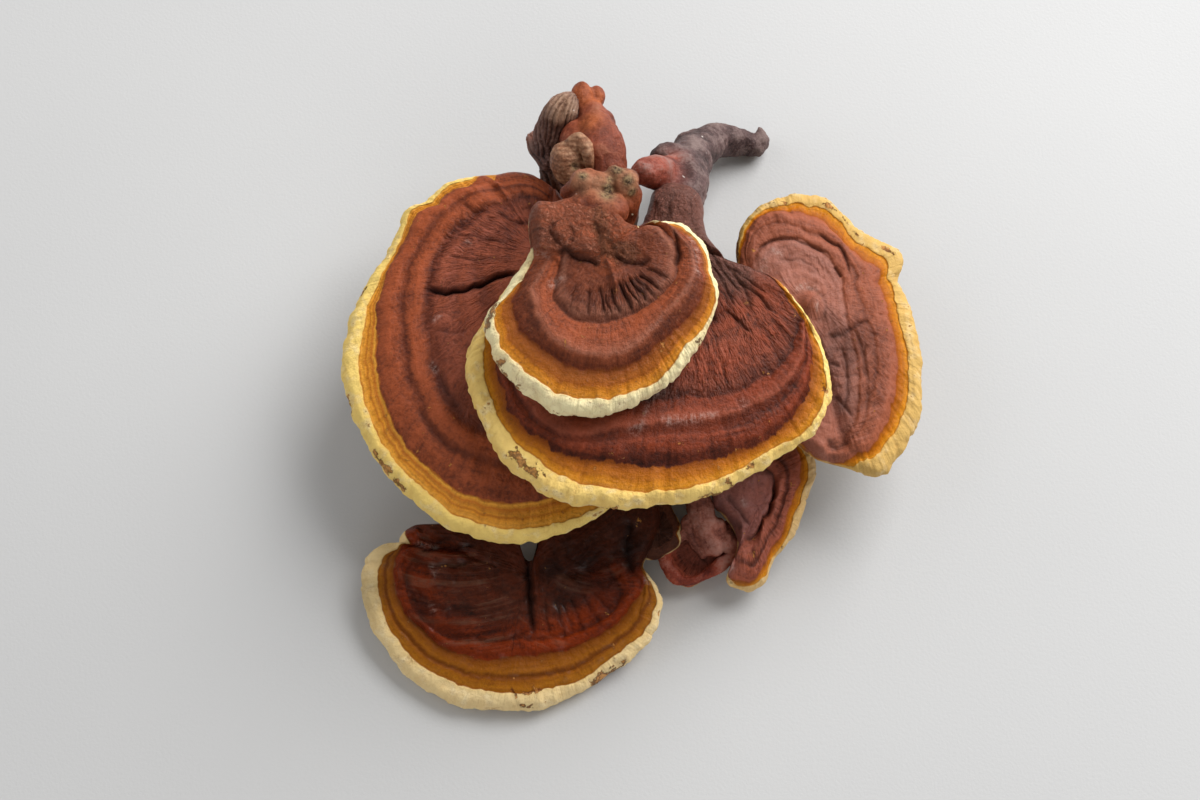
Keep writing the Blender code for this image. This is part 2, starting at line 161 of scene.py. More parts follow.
# %% Meshes from arrays
def finish_piece(mesh, name, node, numbers):
    """The mesh as a finished piece in the place of a CAD node, with numbers kept with its points. A form
    that is only used up by another step has no node."""
    for label, values in numbers.items():
        kind, key = ("FLOAT_VECTOR", "vector") if values.ndim == 2 else ("FLOAT", "value")
        mesh.attributes.new(label, kind, "POINT").data.foreach_set(key, values.ravel())
    mesh.shade_smooth()
    mesh.name = name
    piece = bpy.data.objects.new(name, mesh)
    bpy.context.scene.collection.objects.link(piece)
    if node:
        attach(piece, "root")
        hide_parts(node)
    print(f"{name}: {sum(len(face.vertices) - 2 for face in mesh.polygons)} triangles")
    return piece


def mesh_piece(name, node, points, quads, triangles, numbers):
    """A piece from points in millimetres and rows of corners, written into the mesh as whole arrays."""
    corners = np.concatenate([quads.ravel(), triangles.ravel()]).astype(np.int32)
    starts = np.concatenate([np.arange(len(quads)) * 4, quads.size + np.arange(len(triangles)) * 3])
    mesh = bpy.data.meshes.new(name)
    mesh.vertices.add(len(points))
    mesh.vertices.foreach_set("co", (points * MM).ravel())
    mesh.loops.add(len(corners))
    mesh.loops.foreach_set("vertex_index", corners)
    mesh.polygons.add(len(starts))
    mesh.polygons.foreach_set("loop_start", starts.astype(np.int32))
    mesh.update(calc_edges=True)
    return finish_piece(mesh, name, node, numbers)


def pole_to_pole(rows):
    """Corners for rows of points round a closed form whose first and last rows are single points."""
    count, around = rows
    index = 1 + np.arange((count - 2) * around).reshape(count - 2, around)
    after = np.roll(index, -1, axis=1)
    last = 1 + index.size
    quads = np.stack([index[:-1], index[1:], after[1:], after[:-1]], axis=-1)
    first_pole = np.stack([np.zeros(around, int), index[0], after[0]], axis=-1)
    last_pole = np.stack([np.full(around, last), after[-1], index[-1]], axis=-1)
    return quads.reshape(-1, 4), np.concatenate([first_pole, last_pole])


def one_pole_each_end(values):
    """A grid's values as a list, with only one value for the whole first row and one for the last."""
    flat = values[1:-1].reshape(-1, *values.shape[2:])
    return np.concatenate([values[0, :1], flat, values[-1, :1]])


# %% [markdown]
# ## How a fan grows
#
# A reishi fan grows outwards from its stipe, a band at a time. The outermost band is soft and cream, the
# next is amber, and older bands turn red-brown and hard, as if lacquered. Every growth stop leaves a
# groove, and drying draws wrinkles that run from the centre to the margin. So the natural coordinates
# of a fan are the turn round its growth centre and the share of the way out, and the whole surface is
# one function of the two. The margin is a half circle rolled from the top to the underside.
#
# Where the photograph shows a growth stop, its pixels are named, and the share is stretched so that
# the same stop has the same number all the way round. The profile and the tones then follow it.

# %% Distances to lines drawn on a fan
def to_line(x, y, line):
    """Distance from points to a bent line, how far along it the nearest place is (0 to 1), and on which
    side of it the point lies (1 is left of its direction)."""
    steps = np.hypot(*np.diff(line, axis=0).T)
    before = np.concatenate([[0], np.cumsum(steps)]) / steps.sum()
    nearest = np.full(np.broadcast(x, y).shape, np.inf)
    along, side = np.zeros(nearest.shape), np.ones(nearest.shape)
    for (ax, ay), (bx, by), start, length in zip(line[:-1], line[1:], before, steps):
        dx, dy = (bx - ax) / length, (by - ay) / length
        ahead = np.clip((x - ax) * dx + (y - ay) * dy, 0, length)
        away = np.hypot(x - ax - ahead * dx, y - ay - ahead * dy)
        closer = away < nearest
        nearest = np.where(closer, away, nearest)
        along = np.where(closer, start + ahead / steps.sum(), along)
        side = np.where(closer, np.sign(dx * (y - ay) - dy * (x - ax)), side)
    return nearest, along, side


def polar(x, y):
    """The direction of a point from the origin, as an angle, and its distance."""
    return np.arctan2(y, x), np.hypot(x, y)


def bell(x, y, middle_x, middle_y, wide, power=1):
    """1 at a middle, falling off over a width. A power above 1 makes the top flatter and the side
    steeper."""
    return np.exp(-((((x - middle_x) ** 2 + (y - middle_y) ** 2) / wide**2) ** power))


def off_turn(turn, middle):
    """How far a turn is from a direction given in degrees, in degrees."""
    return np.abs((np.degrees(turn) - middle + 180) % 360 - 180)


# %% [markdown]
# Some measures are the same for all fans, because they come from the kind of fungus and not from the
# single fan. They have names here, so that one change is felt everywhere. Lengths are millimetres.

# %% What all fans share
EARLY = 0.08  # up to this stage a fan is still its stipe's end
LEAST_BAND = 0.03  # a band's least share of the way out
STOP_WAVER, STOP_SWAY = 0.009, 0.013  # how far a growth stop wavers, finely and coarsely
RIM_WAVES, RIM_RIPPLES = 0.5, 0.25  # how far the rim wanders
DENTS, MARGIN_CREASES = 0.55, 0.42  # the soft margin's relief
GROWTH_LINES, OLD_STEP, LIP_STEP = 0.13, 0.3, 0.35  # the low relief of the bands
SWELLINGS, GRAINS, BARK_GRAINS = 0.20, 0.14, 0.3  # the unevenness of skin and bark
MELTING, KNOB_POWER = 1.3, 1.15  # how readily two lumps melt into one, and how full a lump is
print("a fan's bands are at least", LEAST_BAND, "of the way out")

# %% [markdown]
# The next class is one fan. Pixels and lines of pixels come in, and it knows its rim, its bands and its
# growth stops in every direction. What a fan doesn't have is left empty.

# %% A fan's rim, bands and stages
class Fan:
    """One fan: its rim as an outline round the growth centre, on a tilted sheet, with its profile.

    Places (u, v) and lines are pixels, lengths are millimetres and directions are degrees.
    profile holds (stage, height), tones (stage, brightness, dust), and stops (stage, line of the stop). The
    dark dips in brightness at the growth stops are partly painted shade below each step, and the dust on a
    ring's crest is partly painted sheen. hidden holds (direction, cream, amber) where the bands can't be
    seen. wave is (count, height, start), neck (direction, half width, extra thickness, drop), and
    stipe_turns (direction, half width). wrinkles are (count, depth, first stage, last stage), most in
    wrinkle_turns, (direction, spread). knobs are (u, v, width, height), folds (line, width, height), with
    creases below 0, and ledges (line, height, reach). scars, chalk_and_glints and bark_lines are (line,
    width), and the chalky marks are partly painted glints. calm is (u, v, width), where wrinkles fade, and
    shades and highlights_and_lighter_skin are (u, v, width, strength): spots of painted shade, and spots of
    painted highlight and of lighter skin. A lead makes a wrinkle centre count as nearer, waver bends the
    wrinkles, crumpled is how rough the margin is, and lift is how high over the sheet the lines are that
    were seen."""

    def __init__(self, centre, height, slope, rim, margin, profile, under, cream_edge, amber_edge, tones,
                 hidden=(), stops=(), stipe_turns=(), wave=(3, 0, 0), neck=(0, 1, 0, 0), knobbly=0,
                 knobs=(), folds=(), ledges=(), wrinkles=(9, 0.4, 0.1, 0.8), wrinkle_turns=(0, 400),
                 wrinkle_centres=(), leads=(), scars=(), chalk_and_glints=(), bark_lines=(), calm=(), shades=(),
                 highlights_and_lighter_skin=(), waver=0.016, crumpled=1.0, lift=5.0, seed=0):
        self.height, self.slope, self.margin, self.under, self.seed = height, slope, margin, under, seed
        self.wave, self.neck, self.stipe_turns, self.knobbly = wave, neck, stipe_turns, knobbly
        self.wrinkles, self.wrinkle_turns, self.waver = wrinkles, wrinkle_turns, waver
        self.crumpled = crumpled
        self.profile = smooth_line([*profile, (1, margin)], 8).T
        self.tones = np.array(tones).T
        self.x, self.y = seen_at(*centre, height)
        outline = smooth_line(self.on_sheet(rim), 12, closed=True)
        turns, radii = polar(*(outline - (self.x, self.y)).T)
        order = np.argsort(turns)
        self.rim_turns, self.rim_radii = turns[order], radii[order]
        steps = np.hypot(np.diff(self.rim_radii, append=self.rim_radii[0]), self.rim_radii * 0.02)
        angles = np.diff(self.rim_turns, append=self.rim_turns[0] + 2 * math.pi)
        self.rim_shares = np.concatenate([[0], np.cumsum(steps / steps.sum() + angles / angles.sum())]) / 2
        cream_widths = [(turn, cream) for turn, cream, _ in hidden]
        both_widths = [(turn, cream + amber) for turn, cream, amber in hidden]
        self.cream = self.width_table(cream_edge, lift, cream_widths)
        self.old = self.width_table(amber_edge, lift, both_widths)
        self.stops = [(share, *self.stop_table(line, lift)) for share, line in stops]

        def places(rows):
            return [(*self.on_sheet([row[:2]], lift)[0], *row[2:]) for row in rows]

        def lines(rows):
            return [(self.on_sheet(row[0], lift), *row[1:]) for row in rows]

        self.knobs, self.calm, self.shades, self.highlights_and_lighter_skin = map(places, (knobs, calm, shades, highlights_and_lighter_skin))
        self.folds, self.ledges, self.scars, self.chalk_and_glints = map(lines, (folds, ledges, scars, chalk_and_glints))
        self.bark_lines = lines(bark_lines)
        self.wrinkle_centres = self.on_sheet(wrinkle_centres or [centre])
        self.leads = leads or [0] * len(self.wrinkle_centres)

    def sheet(self, x, y):
        """Height of the rim's plane: the centre's height plus slope times the way from it."""
        return self.height + self.slope[0] * (x - self.x) + self.slope[1] * (y - self.y)

    def on_sheet(self, pixels, lift=0.0):
        """Where the lines of sight through pixels meet the sheet, or the sheet raised by lift, closed in
        on in a few rounds."""
        u, v = np.transpose(np.array(pixels, float))
        height = self.height + lift
        for _ in range(8):
            x, y = seen_at(u, v, height)
            height = self.sheet(x, y) + lift
        return np.stack([x, y], axis=-1)

    def rim_at(self, turn):
        """The rim's distance from the growth centre in a direction."""
        return np.interp(turn, self.rim_turns, self.rim_radii, period=2 * math.pi)

    def width_table(self, line, lift, hidden):
        """A band's inner edge as directions in degrees and distances from the rim."""
        turns, radii = polar(*(self.on_sheet(line, lift) - (self.x, self.y)).T)
        seen = np.stack([np.degrees(turns), np.maximum(self.rim_at(turns) - radii, 0)], axis=1)
        return np.concatenate([seen, np.array(list(hidden), float).reshape(-1, 2)]).T

    def stop_table(self, line, lift):
        """A growth stop as directions and shares: the share whose way out is its distance."""
        turns, radii = polar(*(self.on_sheet(line, lift) - (self.x, self.y)).T)
        inner, rounding = self.inner_reach(self.rim_at(turns), self.margin)
        part = np.minimum(radii / inner, 0.98)
        return turns, 2 * part / (1 + rounding + np.sqrt((1 + rounding) ** 2 - 4 * rounding * part))

    def inner_reach(self, reach, edge):
        """The way out to the margin's roll, and how much the inner rings bulge to be rounder."""
        inner = reach - edge
        typical = self.rim_radii.mean() - self.margin
        return inner, np.clip(typical / inner - 1, -0.5, 0.8)

    def turns(self, count):
        """Turns for the columns: steps that are half even in angle and half even along the rim."""
        known = np.append(self.rim_turns, self.rim_turns[0] + 2 * math.pi)
        return np.interp(np.arange(count) / count, self.rim_shares, known)

    def stage(self, turn, share, x, y):
        """The share stretched so that each growth stop keeps its number: straight pieces between the
        stops' shares in this direction. A little noise makes the stops waver. Where the fan runs into
        its stipe nothing stopped, so how near the stipe is in this direction is given too."""
        first, last, total = 0.0, 0.0, 0.0
        for number, turns, shares in [*self.stops, (1.0, None, None)]:
            here = 1.0 if turns is None else np.interp(turn, turns, shares, period=2 * math.pi)
            here = np.maximum(here, first + LEAST_BAND)
            total = total + (number - last) * np.clip((share - first) / (here - first), 0, 1)
            first, last = here, number
        waver = STOP_WAVER * noise(x / 2.3, y / 2.3, self.seed)
        waver = waver + STOP_SWAY * noise(x / 8, y / 8, self.seed + 2)
        near = np.zeros(total.shape)
        for middle, half_width in self.stipe_turns:
            edge = half_width + 3 * noise(x / 5, y / 5, self.seed + 8)
            near = np.maximum(near, 1 - rise(off_turn(turn, middle) - edge, -7, 3))
        return total + (1 - share**6) * waver, near


# %% [markdown]
# The soft margin dries last and crumples into dents and creases. It could be sculpted by hand, but noise
# that reads the place on the rim and the roll round it dents top, edge and underside as one. The fibres
# of the skin run outwards from a few centres, and their direction is kept for the colours.

# %% The margin and the fibres
def crumpled_margin(fan, x, y, roll):
    """The soft margin's relief: rounded dents, and thin creases where another noise crosses zero."""
    dents = rough_noise(x / 3.8, y / 3.8, fan.seed + 1.2 * roll)
    creases = np.exp(-((noise(x / 2.4, y / 2.4, fan.seed + 0.7 * roll) / 0.14) ** 2))
    return fan.crumpled * (DENTS * dents - MARGIN_CREASES * creases)


def fibre_direction(fan, x, y):
    """The direction from the nearest wrinkle centre, as a point on a unit circle, and the way out. Each
    centre counts as its lead nearer than it is."""
    bend = fan.waver * noise(x / 5, y / 5, fan.seed + 4)
    turn, out, nearest = 0.0, 0.0, np.inf
    for (middle_x, middle_y), lead in zip(fan.wrinkle_centres, fan.leads):
        other_turn, other_out = polar(x - middle_x, y - middle_y)
        closer = other_out - lead < nearest
        turn, out = np.where(closer, other_turn, turn), np.where(closer, other_out, out)
        nearest = np.minimum(other_out - lead, nearest)
    return np.stack([np.cos(turn + bend), np.sin(turn + bend), out / 30], axis=-1)


# %% [markdown]
# The hard skin shrinks into wrinkles that run outwards. They could be drawn one by one, but there are
# hundreds. Noise that changes fast round the turn and slowly on the way out has valleys that run in just
# that direction, and where it crosses zero a valley is sharp.

# %% The wrinkles
def furrowed_skin(fan, x, y, stage):
    """Where the skin is wrinkled, and its wrinkles, which run outwards: sharp valleys where noise that
    changes fast round the turn crosses zero. They stop at the young bands."""
    count, depth, first, last = fan.wrinkles
    total, weights = 0.0, 0.0
    for middle_x, middle_y in fan.wrinkle_centres:
        turn, out = polar(x - middle_x, y - middle_y)
        weight = 1 / (1 + out**4)
        turn = turn + fan.waver * noise(x / 9, y / 9, fan.seed)
        cosine, sine = np.cos(turn), np.sin(turn)
        coarse = noise(count * cosine, count * sine, out / 32 + fan.seed)
        finer = noise(2.3 * count * cosine, 2.3 * count * sine, out / 18 + fan.seed)
        valleys = np.exp(-np.abs(coarse) / 0.13) + 0.4 * np.exp(-np.abs(finer) / 0.2)
        total, weights = total + weight * valleys, weights + weight
    off = off_turn(np.arctan2(y - fan.y, x - fan.x), fan.wrinkle_turns[0]) / fan.wrinkle_turns[1]
    where = rise(stage, first, first + 0.1) * (1 - rise(stage, last - 0.02, last + 0.06))
    where = where * (0.3 + 0.7 * np.exp(-(off**2)))
    for place in fan.calm:
        where = where * (1 - 0.85 * bell(x, y, *place))
    patchy = 0.25 + 0.75 * rise(noise(x / 7, y / 7, fan.seed + 5), -0.4, 0.5)
    return where, -depth * where * patchy * total / weights


# %% [markdown]
# Between the wrinkles the relief is lower: growth lines, the step where the red skin ends, and the cream's
# lip. What is found in one place only, such as a lump or a scar, no noise would put there, so it is drawn:
# bells for lumps, calm places and spots of painted shade, painted highlight and lighter skin, and bent
# lines for ridges, creases, ledges and marks. The creases and the seams between lumps also get painted
# shade.

# %% Low relief, lumps and marks
def low_relief(fan, turn, x, y, from_rim, cream, amber):
    """Low relief: growth lines as noise along the way in from the rim, a low step where the red skin
    ends over the amber, another where the cream lip begins, and a slight unevenness."""
    s = fan.seed + 3.7
    cosine, sine = np.cos(turn), np.sin(turn)
    lines = noise(2 * cosine, 2 * sine, from_rim / 1.1 + 1.5 * noise(x / 12, y / 12, s))
    old = rise(from_rim - cream - amber, -0.3, 0.6)
    lip = rise(cream - from_rim, -0.4, 0.5) * rise(cream, 0.5, 2)
    uneven = SWELLINGS * rough_noise(x / 6, y / 6, s) + GRAINS * rough_noise(x / 1.9, y / 1.9, s, 2)
    return GROWTH_LINES * lines + OLD_STEP * old + LIP_STEP * lip + uneven


def drawn_forms(fan, x, y):
    """What is drawn on the fan, and the painted shade of its creases: lumps that melt together, with
    painted shade in the seam where two meet, rounded ridges and sharp creases along bent lines, the creases
    with painted shade, and ledges whose left side stands up and falls off behind."""
    height, melted, mound, second = np.zeros((4, *np.broadcast(x, y).shape))
    for *place, tall in fan.knobs:
        lump = tall * bell(x, y, *place, KNOB_POWER)
        second = np.maximum(second, np.minimum(mound, lump))
        melted = melted + np.exp(MELTING * np.maximum(lump, 0)) - 1
        mound = np.maximum(mound, lump)
        height += np.minimum(lump, 0)
    height += np.log1p(melted) / MELTING
    # Painted shade in the seam where two lumps meet.
    dark = 0.35 * rise(second, 0.3, 1.2) * np.exp(-(((mound - second) / 0.3) ** 2))
    for line, wide, tall in fan.folds:
        away, along, side = to_line(x, y, line)
        fade = rise(along, -0.02, 0.15) * (1 - rise(along, 0.8, 1.02)) * (away < 5 * wide)
        off = np.abs(away * side + 0.5 * noise(x / 3, y / 3, fan.seed)) / wide
        if tall > 0:
            height += tall * fade * np.exp(-(off**2))
        else:
            height += tall * fade * np.exp(-1.5 * off)
            # Painted shade along the crease.
            dark = np.maximum(dark, min(-tall / 2.4, 1) * fade * np.exp(-(off**2)))
    for line, tall, reach in fan.ledges:
        away, along, side = to_line(x, y, line)
        fade = rise(along, -0.02, 0.2) * (1 - rise(along, 0.85, 1.02))
        height += tall * fade * rise(away * side, -0.5, 0.9) * np.exp(-((away / reach) ** 2))
    return height, np.clip(dark, 0, 1)


def spots_at(x, y, places):
    """How much darker or brighter the skin is painted at the places named for it, the strongest bell:
    painted shade for one list, painted highlight and lighter skin for the other.
    """
    most = np.zeros(np.broadcast(x, y).shape)
    for *place, strength in places:
        most = np.maximum(most, strength * bell(x, y, *place))
    return most


def marks_at(x, y, lines):
    """1 on a line of marks, falling off to the sides over its width."""
    mark = np.zeros(np.broadcast(x, y).shape)
    for line, wide in lines:
        mark = np.maximum(mark, np.exp(-((to_line(x, y, line)[0] / max(wide, 0.9)) ** 2)))
    return mark


# %% [markdown]
# Now all of it comes together. The relief fades out as the margin rolls over, and below there is only
# flesh. Every number that the skin's colours follow is worked out here too, because only the surface
# knows how far each point is from the rim.

# %% The whole surface of a fan
def fan_surface(fan, turn, share, roll):
    """Points and their numbers. The way out is the rim's radius less the margin, times share, pulled
    towards a circle near the centre, plus the margin's own half circle. The height is the sheet's,
    plus a wave, less the neck's drop, plus the relief on top or less the flesh below."""
    cosine, sine, s = np.cos(turn), np.sin(turn), fan.seed
    cream = np.interp(np.degrees(turn), *fan.cream, period=360)
    amber = np.maximum(np.interp(np.degrees(turn), *fan.old, period=360) - cream, 0)
    soft = rise(cream, 0.3, 3)
    middle, half_width, extra, drop = fan.neck
    to_neck = share * np.clip(1 - (off_turn(turn, middle) / half_width) ** 2, 0, 1)
    reach = fan.rim_at(turn)
    ring_x, ring_y = reach * cosine, reach * sine
    waves, ripples = rough_noise(ring_x / 6, ring_y / 6, s), noise(ring_x / 1.8, ring_y / 1.8, s)
    reach = reach + soft * (RIM_WAVES * waves + RIM_RIPPLES * ripples)
    edge = fan.margin + extra * to_neck
    inner, rounding = fan.inner_reach(reach, edge)
    bumps = crumpled_margin(fan, ring_x, ring_y, roll) * share**8 * (0.25 + 0.75 * soft)
    out = inner * share * (1 + (1 - share) * rounding) + (edge + bumps) * np.cos(roll)
    x, y = fan.x + out * cosine, fan.y + out * sine
    from_rim = reach - out
    whole, near = fan.stage(turn, share, x, y)
    early = np.minimum(whole, EARLY)
    stage = whole + near * (early - whole)

    def along_stages(*table):
        return near * np.interp(early, *table) + (1 - near) * np.interp(whole, *table)

    ringed = along_stages(*fan.profile)
    plain = fan.profile[1, 0] * (1 - share) + fan.margin * share
    where, furrows = furrowed_skin(fan, x, y, stage)
    fine, (drawn, crease_shade) = low_relief(fan, turn, x, y, from_rim, cream, amber), drawn_forms(fan, x, y)
    bark, granules = marks_at(x, y, fan.bark_lines), rough_noise(x / 1.4, y / 1.4, s, 2)
    knobbly = fan.knobbly * (1 - rise(stage, EARLY, 2 * EARLY))
    fine = fine + (knobbly + BARK_GRAINS * bark) * granules
    up = ringed + (plain - ringed) * (1 - rise(cream + amber, 0.5, 6)) * rise(stage, EARLY, 0.3)
    up = up + extra * to_neck + bumps + (furrows + fine + drawn) * rise(roll, 0.15, QUARTER)
    down = edge + bumps + (fan.under - fan.margin) * (1 - share**2)
    count, tall, start = fan.wave
    wave = tall * share**2 * np.cos(count * turn + math.radians(start)) - drop * to_neck**2
    z = fan.sheet(x, y) + wave + np.where(roll >= 0, up, down) * np.sin(roll)
    tone, dust = (along_stages(fan.tones[0], row) for row in fan.tones[1:])
    # A factor of painted shade in the furrows and a little painted light on raised skin; it scales the tone
    # and thins the dust in the furrows.
    cavity_shade = np.clip(1 + 0.75 * furrows + 0.35 * np.minimum(fine, 0.3), 0.2, 1.15)
    # tone carries that painted shade and light and the spots of painted highlight and lighter skin; shadow
    # holds the spots of painted shade, and crease the painted shade of creases and of seams between lumps.
    numbers = {
        "from_rim": np.where(roll < 0, 0, from_rim),
        "cream": cream + 0 * share,
        "amber": amber + 0 * share,
        "tone": tone * cavity_shade * (1 + spots_at(x, y, fan.highlights_and_lighter_skin)),
        "dust": dust * (0.4 + 0.6 * cavity_shade),
        "furrow": where,
        "crease": crease_shade,
        "shadow": spots_at(x, y, fan.shades),
        "below": rise(-roll, 0.5, 1.1) + 0 * turn,
        "scar": marks_at(x, y, fan.scars),
        "chalk_and_glints": marks_at(x, y, fan.chalk_and_glints),
        "bark": bark,
        "grit": np.clip(4.5 * knobbly + 0.8 * bark, 0, 1),
        "dent": np.clip(-1.3 * bumps, 0, 1) + 0 * share,
        "fan": np.stack(np.broadcast_arrays(cosine, sine, stage), axis=-1),
        "fibre": fibre_direction(fan, x, y),
    }
    return np.stack([x, y, np.maximum(z, 0)], axis=-1), numbers


# %% A fan as a closed mesh
def fan_piece(name, node, fan, around, top_rows, roll_rows=18, under_rows=12):
    """The fan as a closed mesh: rows from the centre of the top, round the margin, to the underside."""
    tops = [(share, QUARTER) for share in np.linspace(0, 1, top_rows, endpoint=False) ** 0.8]
    rolls = [(1, roll) for roll in np.linspace(QUARTER, -QUARTER, roll_rows)]
    unders = [(share, -QUARTER) for share in np.linspace(1, 0, under_rows + 1)[1:]]
    share, roll = np.array(tops + rolls + unders).T[:, :, None]
    points, numbers = fan_surface(fan, fan.turns(around)[None, :], share, roll)
    quads, triangles = pole_to_pole(points.shape[:2])
    numbers = {label: one_pole_each_end(values) for label, values in numbers.items()}
    return mesh_piece(name, node, one_pole_each_end(points), quads, triangles, numbers)


# %% [markdown]
# ## The fans, one by one
#
# Each fan states what differs: where its growth centre is, how high and how tilted it lies, its outline,
# where its cream and its amber end, and its growth stops, lumps, creases and scars. All of them are
# pixels of the photograph, and the line of sight puts them on the fan's own sheet. Directions that the
# photograph hides get widths of their own: an angle, then millimetres of cream and of amber.
#
# The upper fan is the highest. Its stipe end is a group of dusty lumps, and rings of red-brown skin
# lie round them like steps. The lumps could be balls laid on the surface, but bells that melt
# together leave no seam at their feet.

# %% The upper fan
UPPER_FOOT = [(524, 275), (517, 290), (514, 305), (516, 320), (524, 334), (538, 347), (553, 357),
    (573, 366), (600, 370), (625, 367), (641, 359), (656, 347), (667, 337), (678, 327), (689, 317),
    (698, 305), (703, 290), (704, 275), (703, 262), (699, 250), (692, 240), (684, 233), (676, 229),
    (664, 227), (655, 229)]
upper_fan = Fan(
    centre=(608, 264), height=70, slope=(0.02, 0.12), margin=4.3, under=6.5, wave=(3, 0.7, 20),
    neck=(112, 50, 0, 4.5), stipe_turns=[(112, 70)], knobbly=0.22, seed=1, wrinkles=(11, 0.6, 0.16, 0.4),
    wrinkle_turns=(-62, 46), wrinkle_centres=[(612, 250)], calm=[(652, 240, 9)],
    # A painted highlight on one of the lumps.
    highlights_and_lighter_skin=[(622, 242, 2.4, 0.9)],
    profile=[(0, 8.6), (0.08, 8.6), (0.16, 8.0), (0.33, 7.8), (0.39, 7.5), (0.43, 6.1), (0.46, 6.5),
        (0.51, 7.0), (0.60, 7.5), (0.69, 7.9), (0.74, 7.1), (0.79, 5.4), (0.81, 4.9), (0.86, 5.0),
        (0.93, 4.8)],
    rim=[(571, 197), (549, 204), (534, 206), (529, 217), (529, 235), (530, 252), (520, 269), (510, 284),
        (497, 301), (487, 315), (485, 328), (494, 361), (508, 380), (523, 395), (561, 414), (594, 417),
        (632, 406), (667, 386), (680, 374), (692, 358), (709, 328), (719, 297), (713, 277), (709, 258),
        (700, 242), (686, 227), (669, 222), (654, 227), (641, 230), (627, 225), (617, 213), (600, 200)],
    cream_edge=[(533, 258), (521, 281), (509, 292), (499, 303), (495, 315), (496, 330), (501, 345),
        (510, 358), (521, 369), (535, 380), (551, 389), (570, 396), (590, 399), (611, 397), (631, 391),
        (651, 384), (666, 373), (676, 360), (684, 347), (694, 337), (703, 328), (710, 315), (716, 298),
        (711, 279), (708.3, 260), (699.4, 243.6), (686, 228.4), (669, 223), (655, 227.6)],
    amber_edge=UPPER_FOOT, hidden=[(52, 0, 0), (110, 0, 0), (168, 0, 0)],
    stops=[(0.43, [(556, 287), (553, 298), (558, 308), (567, 316), (580, 321), (600, 323), (620, 318),
        (640, 310), (655, 301), (668, 288), (677, 275), (679, 262), (677, 248)]),
        (0.70, [(536, 305), (543, 325), (555, 342), (575, 352), (600, 357), (620, 354), (635, 346),
        (650, 333), (663, 318), (678, 302), (690, 285), (694, 268), (690, 250), (680, 240)]),
        (0.80, UPPER_FOOT)],
    tones=[(0, 1.0, 0.5), (0.08, 1.0, 0.5), (0.17, 0.5, 0.25), (0.34, 0.44, 0.25), (0.395, 0.52, 1.2),
        (0.43, 0.22, 0.3), (0.455, 0.85, 0.2), (0.5, 0.8, 0.1), (0.56, 0.92, 0.1), (0.64, 0.75, 0.3),
        (0.70, 0.8, 1.2), (0.73, 0.5, 0.2), (0.79, 0.4, 0), (0.81, 0.8, 0), (1, 0.8, 0)],
    knobs=[(543, 219, 6.4, 2.6), (538, 240, 4.6, 1.6), (562, 237, 4.4, 2.3), (584, 250, 5.0, 2.7),
        (580, 220, 5.2, 1.9), (603, 224, 4.0, 1.6), (622, 240, 4.8, 3.0), (608, 249, 3.0, 1.6),
        (650, 238, 7, 1.8), (640, 266, 5, -0.8)],
    folds=[([(556, 258), (564, 255), (574, 261), (588, 266), (603, 268)], 1.1, -1.7),
        ([(556, 226), (551, 236), (556, 248), (564, 254)], 1.0, -0.9),
        ([(571, 230), (574, 240), (570, 250)], 0.9, -0.6),
        ([(594, 226), (600, 240), (598, 254)], 1.0, -0.9),
        ([(610, 214), (616, 224), (611, 236)], 0.9, -0.6),
        ([(671, 230), (676, 240), (678, 256), (673, 270)], 1.1, -1.4),
        ([(612, 260), (624, 266), (640, 266), (652, 260)], 1.2, -1.4),
        ([(606, 262), (612, 276), (616, 292)], 0.9, 1.1), ([(618, 284), (625, 298), (634, 313)], 0.8, -1.5),
        ([(628, 280), (640, 294), (649, 305)], 0.8, -1.4),
        ([(638, 276), (652, 287), (663, 295)], 0.7, -1.2),
        ([(601, 290), (602, 302), (605, 319)], 0.7, -1.1),
        ([(645, 270), (660, 277), (671, 281)], 0.7, -0.9),
        ([(611, 290), (614, 304), (620, 317)], 0.7, -1.3),
        ([(633, 278), (646, 292), (656, 301)], 0.7, -1.1),
        ([(590, 292), (588, 304), (588, 320)], 0.6, -0.8),
        ([(578, 288), (573, 300), (570, 314)], 0.6, -0.6),
        ([(606, 296), (608, 308), (612, 319)], 0.5, -0.9),
        ([(623, 284), (633, 298), (642, 309)], 0.5, -1.0)],
    bark_lines=[([(603, 198), (598, 214), (602, 234), (608, 256), (622, 254), (632, 256)], 2.6)],
    ledges=[([(531, 254), (543, 256), (555, 262), (562, 270)], 1.3, 6)],
    scars=[([(497, 303), (490, 312), (489, 324)], 1.6), ([(499, 366), (506, 374), (517, 386)], 0.7),
        ([(496, 360), (504, 362)], 0.8), ([(519, 395), (540, 408), (560, 413)], 0.6),
        ([(697, 340), (704, 330)], 0.7)],
    # The first three marks are painted glints.
    chalk_and_glints=[([(690, 236), (696, 250), (698, 262)], 0.45), ([(697, 270), (698, 276)], 0.8),
        ([(552, 287), (560, 282)], 1.5), ([(534, 254), (548, 259)], 0.5), ([(531, 212), (529, 218)], 0.7)],
)
fan_piece("upper_fan", "upper_cap", upper_fan, 460, 96)

# %% [markdown]
# The middle fan is the widest. Its dark skin is drawn into deep furrows, its border has red teeth that
# reach into the honey-coloured amber, and a neck runs back from it to the right stem. The neck could be
# a piece of its own, but as a thicker, lower part of the same sheet it keeps the rings running over it.

